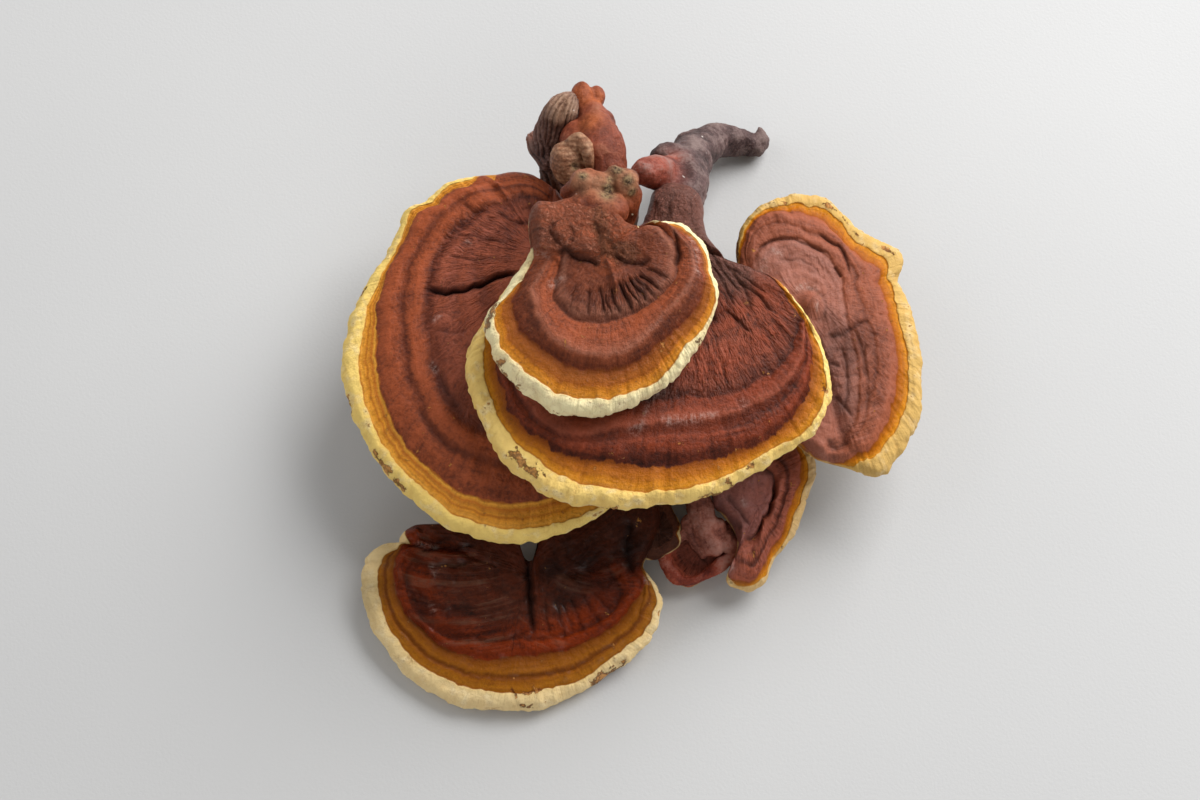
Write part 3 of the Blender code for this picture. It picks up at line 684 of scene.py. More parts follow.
# %% The middle fan
MIDDLE_FOOT = [(498, 350), (497, 370), (502, 392), (508, 410), (518, 424), (532, 436), (551, 447),
    (571, 456), (600, 462), (625, 466), (650, 466), (675, 464), (700, 461), (721, 456), (746, 448),
    (766, 439), (785, 426), (800, 406), (808, 390), (811, 370), (812, 352), (808, 335), (797, 317),
    (784, 299)]
middle_fan = Fan(
    centre=(671, 252), height=53, slope=(-0.03, 0.06), margin=4.2, under=6.5, wave=(4, 0.9, 60),
    neck=(80, 52, 1.6, 6), stipe_turns=[(85, 100)], seed=2, wrinkles=(19, 0.62, 0.05, 0.58),
    wrinkle_turns=(-50, 80), wrinkle_centres=[(684, 236)],
    calm=[(716, 252, 9), (740, 268, 9), (764, 288, 8)],
    # Spots of painted shadow along the upper fan's edge.
    shades=[(703, 290, 5, 0.5), (712, 320, 4, 0.4), (640, 400, 6, 0.5), (668, 393, 4, 0.5),
        (640, 412, 4, 0.4), (560, 425, 7, 0.35), (600, 436, 6, 0.3)],
    profile=[(0, 8.5), (0.3, 8.3), (0.5, 8.1), (0.575, 7.9), (0.60, 7.3), (0.62, 7.5), (0.665, 7.9),
        (0.69, 7.8), (0.725, 6.9), (0.745, 6.7), (0.77, 7.0), (0.81, 6.7), (0.84, 6.1), (0.87, 5.0),
        (0.92, 4.6)],
    rim=[(652, 192), (649, 204), (645, 217), (637, 231), (605, 242), (565, 254), (530, 270), (504, 292),
        (486, 318), (474, 337), (467, 352), (466, 371), (469, 391), (475, 410), (484, 433), (496, 454),
        (511, 473), (533, 487), (557, 500), (581, 508), (630, 510), (679, 503), (722, 492), (758, 469),
        (795, 448), (810, 438), (821, 424), (828, 409), (831, 390), (829, 372), (824, 354), (818, 338),
        (807, 322), (794, 304), (782, 289), (765, 280), (747, 273), (730, 267), (716, 252), (707, 236),
        (704, 220), (704, 206), (701, 195), (694, 187), (684, 182), (672, 180), (661, 184)],
    cream_edge=[(484, 345), (484, 362), (487, 385), (492, 405), (500, 421), (511, 436), (521, 448),
        (536, 459), (551, 469), (570, 480), (590, 487), (615, 490), (640, 492), (665, 490), (690, 486),
        (711, 480), (731, 473), (747, 463), (762, 452), (777, 445), (796, 437), (810, 426), (820, 409),
        (826, 392), (825, 372), (822, 353), (816, 338), (806, 322), (793, 303.5)],
    amber_edge=MIDDLE_FOOT, hidden=[(-12, 0.1, 0.4), (0, 0, 0), (90, 0, 0), (150, 0, 0), (178, 5, 4)],
    stops=[(0.60, [(655, 401), (675, 401), (700, 399), (722, 396), (745, 389), (765, 379), (782, 362),
        (792, 345), (798, 328), (797, 312), (790, 298)]),
        (0.69, [(560, 436), (600, 436), (640, 425), (665, 423), (690, 421), (715, 418), (740, 412),
        (764, 402), (784, 387), (797, 366), (803, 345), (803, 328)]), (0.87, MIDDLE_FOOT)],
    # The low brightness inward of stage 0.35 is partly the skin's darker colour and partly painted shade
    # from the upper fan above it.
    tones=[(0, 0.75, 0.2), (0.2, 0.62, 0.1), (0.32, 0.7, 0.2), (0.45, 1.0, 0.8), (0.53, 0.8, 0.4),
        (0.575, 0.4, 0.5), (0.60, 0.2, 0), (0.612, 0.7, 0), (0.65, 0.75, 0.2), (0.685, 1.1, 1.2),
        (0.70, 0.55, 0.2), (0.725, 0.45, 0), (0.75, 0.5, 0), (0.77, 0.85, 0.3), (0.785, 0.6, 0),
        (0.80, 0.85, 0), (0.83, 0.5, 0), (0.87, 0.35, 0), (1, 0.6, 0)],
    folds=[([(683, 186), (678, 204), (675, 226), (678, 250), (694, 282)], 6.5, 2.6),
        ([(700, 240), (716, 268), (742, 300)], 1.0, -1.2),
        ([(690, 262), (704, 296), (716, 330)], 1.0, -1.3),
        ([(720, 262), (742, 290), (752, 318)], 0.9, -1.2),
        ([(706, 262), (722, 286), (734, 312)], 0.8, -1.1),
        ([(724, 310), (740, 326), (752, 336)], 0.9, -1.2),
        ([(676, 190), (668, 214), (662, 240)], 1.1, -0.8),
        ([(690, 196), (690, 220), (700, 244)], 1.1, -0.8),
        ([(736, 284), (758, 300), (772, 318)], 0.8, -1.2),
        ([(682, 282), (692, 310), (698, 336)], 0.8, -1.0),
        ([(728, 270), (748, 284), (768, 300)], 0.7, -0.9)],
    bark_lines=[([(683, 184), (677, 206), (676, 232), (700, 252), (732, 266)], 11)],
    scars=[([(510, 452), (517, 458), (528, 468), (537, 474)], 1.5), ([(516, 446), (519, 456)], 0.8),
        ([(537, 462), (545, 476)], 0.9), ([(823, 382), (826, 388)], 1.2), ([(728, 480), (738, 484)], 0.8),
        ([(748, 466), (754, 462)], 0.9), ([(700, 496), (725, 489)], 0.5), ([(600, 506), (616, 507)], 0.6)],
    # The long marks along the ring's crest are painted glints.
    chalk_and_glints=[([(640, 427), (634, 432)], 1.6), ([(652, 400), (644, 418)], 0.9),
        ([(663, 422), (690, 420), (716, 417)], 0.9),
        ([(741, 404), (743, 403), (745, 405), (744, 408), (742, 408)], 1.0),
        ([(668, 424), (684, 423), (700, 421)], 1.2), ([(648, 398), (664, 396)], 0.9)],
)
fan_piece("middle_fan", "middle_cap", middle_fan, 540, 108)

# %% [markdown]
# The left fan is the largest, and the middle one lies over a part of it. Its amber is golden in many
# thin layers, and its low rings lie close together. They could be modelled one by one, but as steps of
# one profile they stay in order all the way round, as on the real one.

# %% The left fan
LEFT_FOOT = [(495, 181), (470, 187), (445, 195), (422, 209), (411, 222), (402, 241), (391, 260), (381, 285),
    (376, 310), (377, 340), (376, 365), (380, 390), (387, 410), (397, 430), (410, 450), (425, 465),
    (445, 483), (465, 494), (490, 502), (520, 503), (545, 499), (565, 491)]
left_fan = Fan(
    centre=(548, 266), height=36, slope=(0.05, 0.02), margin=4.0, under=6.5, wave=(3, 1.0, 0), seed=3,
    stipe_turns=[(16, 76)], wrinkles=(14, 0.5, 0.12, 0.6), wrinkle_turns=(160, 60), waver=0.05,
    crumpled=0.7,
    profile=[(0, 7.6), (0.3, 7.4), (0.36, 7.1), (0.42, 7.3), (0.47, 6.9), (0.52, 7.1), (0.57, 6.8),
        (0.604, 6.2), (0.635, 6.8), (0.69, 7.0), (0.73, 6.8), (0.757, 6.4), (0.785, 6.6), (0.82, 6.6),
        (0.86, 5.6), (0.89, 4.6), (0.94, 4.3)],
    rim=[(556, 192), (545, 183), (531, 176), (513, 174), (496, 177), (480, 178), (464, 181), (452, 184),
        (440, 190), (430, 198), (424, 204), (412, 207), (404, 212), (399, 224), (393, 238), (386, 254),
        (378, 265), (368, 279), (362, 289), (356, 302), (351, 315), (346, 331), (343, 347), (341, 365),
        (343, 384), (347, 401), (352, 418), (360, 434), (370, 452), (382, 467), (400, 490), (420, 510),
        (442, 525), (468, 536), (493, 543), (519, 544), (540, 541), (560, 534), (600, 515), (612, 498),
        (612, 450), (602, 410), (596, 370), (590, 330), (586, 290), (582, 250), (574, 215)],
    cream_edge=[(470, 180), (450, 185), (426, 203), (408, 213), (400, 235), (388, 260), (376, 284),
        (368, 300), (364, 320), (360, 345), (358, 370), (362, 395), (370, 420), (381, 441), (395, 460),
        (415, 482), (435, 500), (455, 514), (480, 524), (505, 529), (530, 528), (555, 523), (580, 514)],
    amber_edge=LEFT_FOOT, hidden=[(-60, 1, 1), (0, 0, 0), (88, 0, 0), (118, 0, 0), (125, 0, 0.5)],
    stops=[(0.61, [(500, 206), (480, 212), (462, 224), (445, 240), (433, 262), (427, 285), (427, 310),
        (428, 340), (431, 365), (437, 385), (446, 403), (458, 420), (475, 432)]),
        (0.76, [(500, 190), (475, 196), (452, 208), (437, 222), (421, 240), (411, 262), (405, 285),
        (403, 310), (403, 335), (405, 360), (410, 385), (420, 405), (430, 425), (441, 440), (455, 450),
        (475, 458), (490, 463)]), (0.88, LEFT_FOOT)],
    tones=[(0, 0.6, 0.7), (0.25, 0.85, 0.8), (0.30, 0.7, 0.7), (0.36, 0.6, 0.5), (0.42, 0.9, 0.9),
        (0.47, 0.6, 0.5), (0.52, 0.85, 0.8), (0.565, 0.55, 0.4), (0.60, 0.3, 0.1), (0.62, 0.6, 0),
        (0.64, 0.85, 0), (0.69, 1.0, 0), (0.725, 0.75, 0), (0.74, 0.45, 0), (0.765, 0.45, 0),
        (0.785, 0.82, 0), (0.83, 0.86, 0), (0.88, 0.75, 0), (1, 0.85, 0)],
    folds=[([(422, 290), (446, 294), (468, 292), (482, 287), (495, 280), (524, 276)], 0.95, -2.6),
        ([(497, 214), (510, 222), (532, 226)], 1.0, -0.9),
        ([(462, 206), (474, 214), (488, 214)], 0.9, -0.8),
        ([(520, 190), (528, 204), (534, 220)], 1.0, -0.8),
        ([(455, 236), (480, 240), (512, 246)], 0.8, -0.6),
        ([(446, 256), (470, 262), (504, 262)], 0.8, -0.6),
        ([(432, 330), (452, 336), (470, 332)], 0.8, -0.6),
        ([(438, 372), (446, 392), (460, 412)], 1.2, -1.0),
        ([(416, 408), (430, 430), (450, 449), (472, 459)], 0.9, -0.9),
        ([(426, 362), (434, 372), (440, 366)], 0.8, -0.6)],
    ledges=[([(426, 289), (446, 292), (470, 290), (482, 285), (495, 278), (522, 274)], 0.9, 5)],
    scars=[([(374, 450), (380, 460), (390, 472)], 0.9), ([(394, 478), (404, 488)], 1.0),
        ([(361, 290), (366, 284)], 0.7), ([(345, 395), (350, 412)], 0.5)],
    chalk_and_glints=[([(436, 322), (440, 318)], 0.9), ([(468, 244), (470, 246)], 0.7),
        ([(433, 366), (436, 372)], 0.6)],
)
fan_piece("left_fan", "left_cap", left_fan, 560, 112)

# %% [markdown]
# The right fan has a raised middle and an uneven margin, and its skin lies in broad soft rings and
# not in furrows. Sharp valleys would look scratched there, so its wrinkles are shallow and the soft
# folds are left to the skin's own relief.

# %% The right fan
RIGHT_FOOT = [(741, 262), (744, 241), (750, 226), (760, 215), (775, 211), (790, 213), (805, 213),
    (818, 219), (830, 228), (842, 240), (855, 252), (865, 261), (875, 266), (880, 278), (885, 295),
    (890, 320), (895, 345), (898, 365), (895, 385), (891, 405), (886, 425), (875, 440), (860, 452),
    (845, 460), (832, 460)]
right_fan = Fan(
    centre=(808, 308), height=30, slope=(-0.12, 0.02), margin=3.7, under=6, wave=(3, 0.8, 100), seed=4,
    stipe_turns=[(215, 66)], wrinkles=(12, 0.2, 0.15, 0.8), wrinkle_turns=(-60, 50), waver=0.04,
    crumpled=0.7,
    # Spots of painted shade in its middle and beside the middle fan's edge.
    shades=[(848, 352, 10, 0.5), (832, 340, 7, 0.5), (848, 400, 9, 0.35), (824, 362, 8, 0.55),
        (826, 322, 3, 0.45), (826, 400, 8, 0.35)],
    profile=[(0, 6.6), (0.16, 6.7), (0.22, 6.9), (0.28, 6.6), (0.33, 6.7), (0.38, 6.5), (0.43, 6.7),
        (0.49, 6.6), (0.52, 6.3), (0.55, 6.7), (0.60, 6.8), (0.66, 6.5), (0.70, 6.2), (0.73, 6.5),
        (0.78, 6.5), (0.83, 6.1), (0.87, 5.0), (0.93, 4.0)],
    rim=[(738, 270), (736, 254), (737, 238), (743, 223), (753, 211), (765, 203), (783, 199), (796, 194),
        (810, 196), (826, 201), (838, 209), (847, 219), (858, 227), (870, 236), (884, 243), (897, 249),
        (904, 260), (901, 271), (898, 281), (906, 295), (911, 309), (917, 330), (921, 352), (922, 372),
        (921, 395), (919, 417), (911, 437), (900, 455), (888, 471), (874, 477), (860, 472), (846, 467),
        (818, 459), (798, 443), (785, 425), (770, 400), (756, 370), (746, 340), (740, 310)],
    cream_edge=[(739, 262), (740, 243), (746, 227), (756, 213), (770, 206), (785, 205), (798, 201),
        (808, 205), (822, 208), (835, 215), (843, 223), (855, 238), (866, 245), (878, 252), (888, 265),
        (892, 280), (896, 300), (901, 325), (907, 350), (909, 370), (908, 390), (904, 410), (896, 430),
        (882, 448), (868, 458), (855, 464), (840, 463), (820, 458)],
    amber_edge=RIGHT_FOOT, hidden=[(-120, 0.3, 1), (180, 0, 0), (200, 0, 0)],
    stops=[(0.52, [(752, 264), (757, 254), (765, 245), (778, 242), (792, 241), (803, 243), (812, 249),
        (822, 254), (830, 262), (838, 274), (842, 288), (843, 302), (845, 320), (850, 340), (856, 362),
        (858, 385), (857, 410), (853, 428), (843, 440)]),
        (0.70, [(747, 248), (753, 234), (762, 228), (775, 225), (786, 226), (796, 229), (806, 234),
        (816, 238), (827, 242), (838, 246), (844, 256), (850, 267), (855, 280), (860, 300), (866, 322),
        (872, 340), (875, 360), (873, 380), (869, 400), (863, 420), (852, 438), (838, 448)]),
        (0.87, RIGHT_FOOT)],
    tones=[(0, 0.85, 0.4), (0.13, 0.9, 0.8), (0.22, 1.0, 1.2), (0.28, 0.75, 1.0), (0.33, 0.85, 1.0),
        (0.38, 0.75, 0.9), (0.44, 0.9, 1.2), (0.49, 0.9, 1.1), (0.515, 0.6, 0.2), (0.53, 0.7, 0),
        (0.55, 1.0, 0.2), (0.60, 0.9, 0.2), (0.66, 0.85, 0.1), (0.695, 0.55, 0), (0.71, 0.65, 0),
        (0.73, 0.95, 0), (0.78, 0.85, 0), (0.84, 1.0, 0), (1, 0.95, 0)],
    folds=[([(826, 334), (834, 339), (842, 338), (850, 332), (858, 326), (870, 323)], 0.9, -1.0),
        ([(757, 252), (765, 244), (778, 241), (795, 242), (812, 249), (826, 256), (834, 265)], 0.7, -0.9),
        ([(815, 235), (828, 243), (838, 247), (843, 256), (848, 268), (850, 280)], 0.7, -1.1), ([(802, 292),
        (813, 292), (823, 299), (826, 310), (821, 321), (810, 326)], 0.9, -0.6),
        ([(838, 344), (846, 364), (847, 392), (842, 416)], 0.8, -0.8),
        ([(851, 330), (862, 352), (866, 384)], 0.7, -0.7),
        ([(824, 352), (846, 352), (862, 350)], 0.6, -0.5),
        ([(824, 376), (846, 378), (862, 376)], 0.6, -0.5), ([(826, 366), (840, 367)], 0.9, -0.9),
        ([(833, 396), (842, 405), (852, 420)], 1.0, -0.9), ([(826, 384), (842, 388)], 0.8, -0.6),
        ([(824, 440), (838, 447), (850, 440)], 1.0, -0.9), ([(812, 449), (834, 456), (856, 452)], 2.6, 1.0),
        ([(834, 268), (840, 280)], 0.9, -0.9), ([(862, 340), (868, 380), (864, 410)], 0.8, -0.7),
        ([(776, 262), (800, 262), (822, 276)], 0.9, -0.5)],
    knobs=[(809, 307, 3.7, 3.6), (770, 268, 5, 0.7), (786, 290, 5, 0.6), (840, 322, 5, 0.9),
        (846, 262, 4, 0.5)],
    scars=[([(783, 199), (786, 203)], 1.0), ([(824, 203), (840, 212), (846, 220)], 0.6),
        ([(854, 230), (857, 233)], 0.8), ([(738, 232), (738, 256)], 0.6), ([(884, 246), (894, 252)], 0.6)],
    chalk_and_glints=[([(815, 306), (816, 313)], 0.9), ([(797, 291), (806, 288), (813, 290)], 1.2),
        ([(774, 252), (780, 256)], 1.0), ([(764, 264), (760, 276)], 1.2)],
)
fan_piece("right_fan", "right_cap", right_fan, 460, 96)

# %% [markdown]
# The front fan is two lobes that met while they grew. Two fans pushed through each other would cross
# their bands, so this is one outline with one crease, and its wrinkles start from two centres. The
# first centre has a lead, which puts the border between the two where the crease is.

# %% The low front fan and the lobe tucked in beside it
FRONT_FOOT = [(399, 553), (396, 566), (396, 582), (400, 600), (408, 615), (420, 628), (432, 640),
    (447, 650), (465, 656), (485, 659), (505, 658), (525, 656), (545, 653), (565, 650), (580, 645),
    (600, 636), (616, 625), (628, 610), (637, 597), (645, 581)]
front_fan = Fan(
    centre=(530, 582), height=8.6, slope=(0.0, 0.13), margin=3.9, under=6, wave=(4, 0.6, 40), seed=5,
    lift=4.5, stipe_turns=[(84, 76)], wrinkles=(12, 0.15, 0.1, 0.6),
    wrinkle_centres=[(458, 440), (597, 528)], leads=(24, 0), waver=0.2,
    calm=[(524, 575, 6), (528, 600, 7), (532, 630, 7), (575, 622, 9), (612, 606, 8), (440, 632, 6)],
    # Spots of lighter red skin on the right lobe's outer band.
    highlights_and_lighter_skin=[(546, 630, 4, 0.6), (560, 624, 5, 0.7), (578, 618, 5, 0.7), (594, 609, 4, 0.6)], crumpled=0.6,
    # Spots of painted shade on both lobes.
    shades=[(602, 586, 9, 0.6), (550, 572, 4, 0.6), (376, 590, 8, 0.4), (386, 560, 6, 0.3),
        (566, 598, 6, 0.5), (590, 568, 9, 0.6), (634, 558, 8, 0.7), (425, 612, 7, 0.45), (455, 628, 7, 0.4),
        (490, 630, 7, 0.4)],
    profile=[(0, 6.6), (0.3, 6.5), (0.45, 6.4), (0.52, 5.5), (0.56, 6.2), (0.60, 6.3), (0.64, 5.6),
        (0.66, 4.9), (0.71, 4.9), (0.77, 4.9), (0.795, 4.3), (0.81, 4.4), (0.84, 4.7), (0.92, 4.3)],
    rim=[(399, 543), (388, 544), (378, 547), (368, 556), (362, 574), (362, 584), (363, 593), (368, 614),
        (376, 635), (389, 657), (407, 677), (427, 692), (448, 703), (475, 709), (503, 711), (525, 711),
        (547, 707), (567, 699), (587, 688), (607, 676), (627, 665), (642, 652), (653, 637), (660, 621),
        (663, 604), (658, 589), (649, 576), (643, 566), (650, 552), (657, 536), (661, 523), (655, 503),
        (630, 494), (600, 491), (570, 492), (553, 500), (545, 520), (540, 546), (537, 556), (534, 560),
        (530, 562), (526, 560), (523, 556), (520, 546), (510, 521), (499, 512), (465, 518), (440, 525),
        (415, 527), (404, 533)],
    cream_edge=[(397, 550), (386, 554), (380, 565), (379, 580), (381, 600), (386, 620), (394, 637),
        (406, 653), (421, 666), (441, 677), (461, 685), (481, 689), (501, 693), (516, 694), (531, 692),
        (546, 688), (561, 686), (576, 681), (591, 673), (603, 665), (616, 656), (629, 646), (641, 636),
        (650, 622), (656, 606), (655, 592), (648, 579)],
    amber_edge=FRONT_FOOT, hidden=[(6, 0.2, 1), (12, 0, 0), (90, 0, 0), (158, 0, 0)],
    stops=[(0.52, [(412, 607), (421, 620), (433, 630), (450, 638), (475, 642), (500, 641), (522, 638),
        (545, 639), (570, 635), (592, 627), (608, 615), (618, 602)]), (0.66, FRONT_FOOT),
        (0.80, [(387, 575), (387, 592), (391, 611), (401, 631), (416, 648), (436, 662), (456, 670),
        (476, 674), (501, 677), (526, 677), (551, 675), (571, 670), (591, 660), (611, 648), (630, 631)])],
    tones=[(0, 0.34, 0.2), (0.3, 0.34, 0.2), (0.38, 0.46, 0.1), (0.44, 0.66, 0), (0.48, 0.7, 0),
        (0.52, 0.4, 0), (0.55, 0.85, 0), (0.61, 1.0, 0), (0.66, 0.9, 0), (1, 1, 0)],
    knobs=[(430, 562, 12, 1.2), (594, 536, 13, 2.0), (622, 545, 7, -1.2), (452, 592, 9, 0.8)],
    folds=[([(533, 554), (536, 580), (538, 606)], 1.2, 2.2),
        ([(527, 560), (530, 590), (533, 640)], 1.3, -1.5), ([(400, 552), (406, 536), (425, 530)], 1.8, 1.6),
        ([(401, 560), (403, 580), (412, 600)], 1.6, 1.0),
        ([(408, 546), (430, 552), (456, 550), (484, 544)], 1.2, -0.9),
        ([(410, 560), (432, 568), (458, 566), (480, 560)], 1.2, -0.8),
        ([(416, 538), (436, 543), (456, 540)], 1.0, -0.7),
        ([(414, 588), (428, 604), (450, 612), (480, 608)], 1.4, -0.8),
        ([(424, 552), (446, 558), (470, 556)], 1.4, 0.8), ([(416, 574), (436, 586), (462, 586)], 1.4, 0.7),
        ([(403, 574), (410, 592), (420, 606)], 1.2, -0.8),
        ([(563, 536), (570, 560), (592, 570), (612, 562), (618, 542)], 1.5, -0.5),
        ([(552, 540), (558, 568), (580, 586), (606, 586), (624, 570)], 1.5, -0.6),
        ([(655, 510), (659, 530), (650, 552), (642, 566)], 1.0, -0.8),
        ([(630, 520), (626, 552), (634, 578)], 1.8, -1.3),
        ([(545, 600), (547, 618), (549, 638)], 0.8, -0.6),
        ([(555, 598), (560, 618), (566, 642)], 0.9, -0.7),
        ([(562, 602), (568, 618), (575, 634)], 0.6, -0.5),
        ([(569, 596), (577, 616), (586, 638)], 0.9, -0.6),
        ([(580, 594), (591, 610), (603, 632)], 0.9, -0.6),
        ([(591, 592), (602, 604), (616, 618)], 0.8, -0.5)],
    scars=[([(596, 681), (602, 674), (612, 669), (625, 664)], 2.0), ([(512, 690), (516, 695)], 0.9),
        ([(524, 694), (540, 690)], 0.5), ([(520, 705), (532, 706)], 0.6), ([(594, 688), (600, 676)], 0.6)],
    chalk_and_glints=[([(418, 545), (436, 549)], 0.5), ([(432, 568), (436, 576)], 0.7),
        ([(432, 608), (434, 612)], 0.5)],
)
fan_piece("front_fan", "lower_left_cap", front_fan, 520, 100)
tucked_lobe = Fan(
    centre=(657, 533), height=10, slope=(0.0, 0.1), margin=2.4, under=3.5, seed=6, lift=2,
    profile=[(0, 3.6), (0.5, 3.4)], tones=[(0, 0.5, 0.2), (1, 0.5, 0.2)],
    cream_edge=[(680, 524), (677, 534)], amber_edge=[(679, 522), (675, 535)],
    hidden=[(-30, 0, 0), (70, 0, 0), (180, 0, 0)],
    rim=[(650, 505), (667, 501), (674, 512), (680, 523), (683, 533), (680, 545), (670, 553), (655, 560),
        (640, 556), (634, 540), (638, 518)],
)
fan_piece("tucked_lobe", "lower_left_cap", tucked_lobe, 150, 30, 12, 8)

# %% [markdown]
# Two small ones lie at the lower right: a narrow purplish fan seen nearly edge on, and a small cap
# that is mostly lumps. A fan makes only the small cap's plate, because a plate has one height in each
# place. Its lumps overhang, so they are grown over it later, as knobs are.

# %% The narrow fan and the small knobbly cap at the lower right
NARROW_FOOT = [(797, 447), (801, 460), (800, 476), (796, 490), (791, 504), (786, 520), (780, 538),
    (770, 552), (763, 565), (757, 577), (747, 582), (736, 580)]
narrow_fan = Fan(
    centre=(757, 512), height=13.5, slope=(-0.05, 0.25), margin=3.0, under=5, wave=(3, 0.5, 0), seed=7,
    lift=4, stipe_turns=[(170, 78)], wrinkles=(8, 0.08, 0.5, 0.8), wrinkle_centres=[(735, 490)],
    profile=[(0, 6.4), (0.3, 6.3), (0.39, 5.6), (0.435, 3.4), (0.465, 3.2), (0.50, 5.8), (0.56, 7.0),
        (0.62, 6.4), (0.67, 5.2), (0.70, 4.4), (0.73, 4.9), (0.82, 4.6), (0.9, 3.6)],
    rim=[(801, 444), (811, 452), (816, 463), (816, 475), (812, 487), (807, 503), (800, 519), (797, 530),
        (791, 540), (783, 550), (775, 558), (770, 570), (766, 582), (758, 589), (749, 592), (738, 589),
        (729, 586), (726, 578), (731, 567), (735, 556), (737, 545), (733, 530), (722, 514), (713, 505),
        (712, 490), (718, 470), (735, 450), (760, 438), (785, 438)],
    cream_edge=[(806, 453), (809, 464), (808, 476), (804, 490), (799, 505), (792, 522), (785, 540),
        (776, 553), (769, 566), (763, 578), (752, 585), (738, 585), (730, 579)],
    amber_edge=NARROW_FOOT, hidden=[(72, 0, 0), (130, 0, 0), (235, 0, 0)],
    stops=[(0.455, [(764, 468), (773, 474), (774, 488), (770, 504), (762, 518), (758, 530), (750, 540)]),
        (0.70, [(774, 455), (786, 464), (788, 482), (784, 500), (778, 518), (770, 534), (762, 550),
        (754, 566)]), (0.85, NARROW_FOOT)],
    tones=[(0, 0.7, 1.0), (0.38, 0.7, 1.0), (0.43, 0.3, 0.3), (0.455, 0.02, 0), (0.48, 0.6, 0),
        (0.51, 1.0, 0.2), (0.56, 1.1, 0.3), (0.64, 0.9, 0), (0.69, 0.3, 0), (0.71, 0.4, 0), (0.74, 0.95, 0),
        (1, 1.05, 0)],
    knobs=[(742, 562, 3.6, 2.4), (752, 484, 5, 1.0), (738, 500, 4, 0.8), (760, 500, 3, -0.6),
        (756, 575, 3, 1.0)],
    folds=[([(716, 502), (730, 516), (744, 534)], 1.1, -1.0),
        ([(724, 496), (738, 512), (750, 530)], 1.0, -0.9),
        ([(750, 548), (756, 560), (748, 570)], 0.9, -0.7)],
    chalk_and_glints=[([(727, 566), (731, 568)], 1.3), ([(743, 504), (744, 507)], 0.9)],
    scars=[([(783, 546), (784, 549)], 1.0)],
)
fan_piece("narrow_fan", "lower_right_cap", narrow_fan, 300, 60, 14, 8)
small_fan = Fan(
    centre=(703, 546), height=4.4, slope=(0.0, 0.14), margin=2.4, under=4, neck=(92, 40, 1.2, 0), seed=8,
    lift=4, profile=[(0, 5), (0.4, 4.6), (0.7, 4.0), (0.9, 3.4)],
    tones=[(0, 0.85, 0.5), (0.7, 0.8, 0.5), (0.85, 1.2, 0.1), (1, 1.3, 0)],
    cream_edge=[(683, 586), (676, 580)], amber_edge=[(683, 585), (676, 579)],
    hidden=[(-95, 0, 0), (0, 0, 0), (90, 0, 0), (180, 0, 0), (-150, 0, 0)], wrinkles=(7, 0.35, 0.2, 0.9),
    rim=[(722, 570), (711, 576), (700, 583), (690, 587), (683, 586), (675, 578), (667, 569), (662, 559),
        (664, 549), (672, 540), (681, 534), (687, 522), (690, 510), (692, 501), (700, 497), (709, 501),
        (714, 512), (721, 522), (732, 519), (740, 525), (746, 535), (747, 546), (738, 554), (730, 560)],
    knobs=[(683, 559, 5.0, -2.6), (700, 569, 3.8, -1.8), (740, 540, 2.2, -2.0)],
    folds=[([(702, 500), (704, 520), (712, 540), (722, 552)], 4.5, 2.0),
        ([(686, 529), (691, 541), (700, 552), (710, 563)], 1.0, -1.5),
        ([(712, 522), (718, 532), (716, 546)], 1.0, -1.0),
        ([(728, 556), (734, 548), (738, 544)], 1.0, -1.2)],
)
fan_piece("small_fan", "small_cap", small_fan, 240, 50, 12, 10)

# %% [markdown]
# ## Stipes and knobs
#
# The stipes are round branches with swellings that melt into each other. A tube for each branch and a
# ball for each knob would show hard seams. So these are first laid over each other, then given one new
# skin of small even cells that follows their outside, and then relaxed: each point moves to the middle
# of its neighbours a few times, which rounds the seams like healed bark. Last, wrinkles are pushed in
# along the branch.

# %% Branches and balls
AROUND, BALL_ROWS, CAP_ROWS = 28, 15, 7  # columns round a form, rows of a ball, rows of a branch's end


def branch(stations):
    """A circle carried along a smooth path, with a half ball at each end. Stations are pixel u, pixel v,
    height and radius."""
    u, v, height, radius = np.transpose(stations).astype(float)
    path = smooth_line(np.stack([*seen_at(u, v, height), height, radius], axis=1), 8)
    centre, radius = path[:, :3], path[:, 3]
    ahead = np.gradient(centre, axis=0)
    ahead /= np.linalg.norm(ahead, axis=1, keepdims=True)
    bend = np.linspace(QUARTER, 0, CAP_ROWS, endpoint=False)[:, None]
    start = centre[0] - ahead[0] * radius[0] * np.sin(bend)
    end = centre[-1] + ahead[-1] * radius[-1] * np.sin(bend[::-1])
    middles = np.concatenate([start, centre, end])
    radii = np.concatenate([radius[0] * np.cos(bend[:, 0]), radius, radius[-1] * np.cos(bend[::-1, 0])])
    ahead = np.concatenate([ahead[:1]] * CAP_ROWS + [ahead] + [ahead[-1:]] * CAP_ROWS)
    least = np.eye(3)[np.abs(ahead).max(axis=0).argmin()]
    side = np.cross(ahead, least)
    side /= np.linalg.norm(side, axis=1, keepdims=True)
    other = np.cross(ahead, side)
    turn = (np.arange(AROUND) * 2 * math.pi / AROUND)[None, :, None]
    ring = side[:, None] * np.cos(turn) + other[:, None] * np.sin(turn)
    grid = middles[:, None] + ring * radii[:, None, None]
    quads, triangles = pole_to_pole(grid.shape[:2])
    return one_pole_each_end(grid), quads, triangles, centre


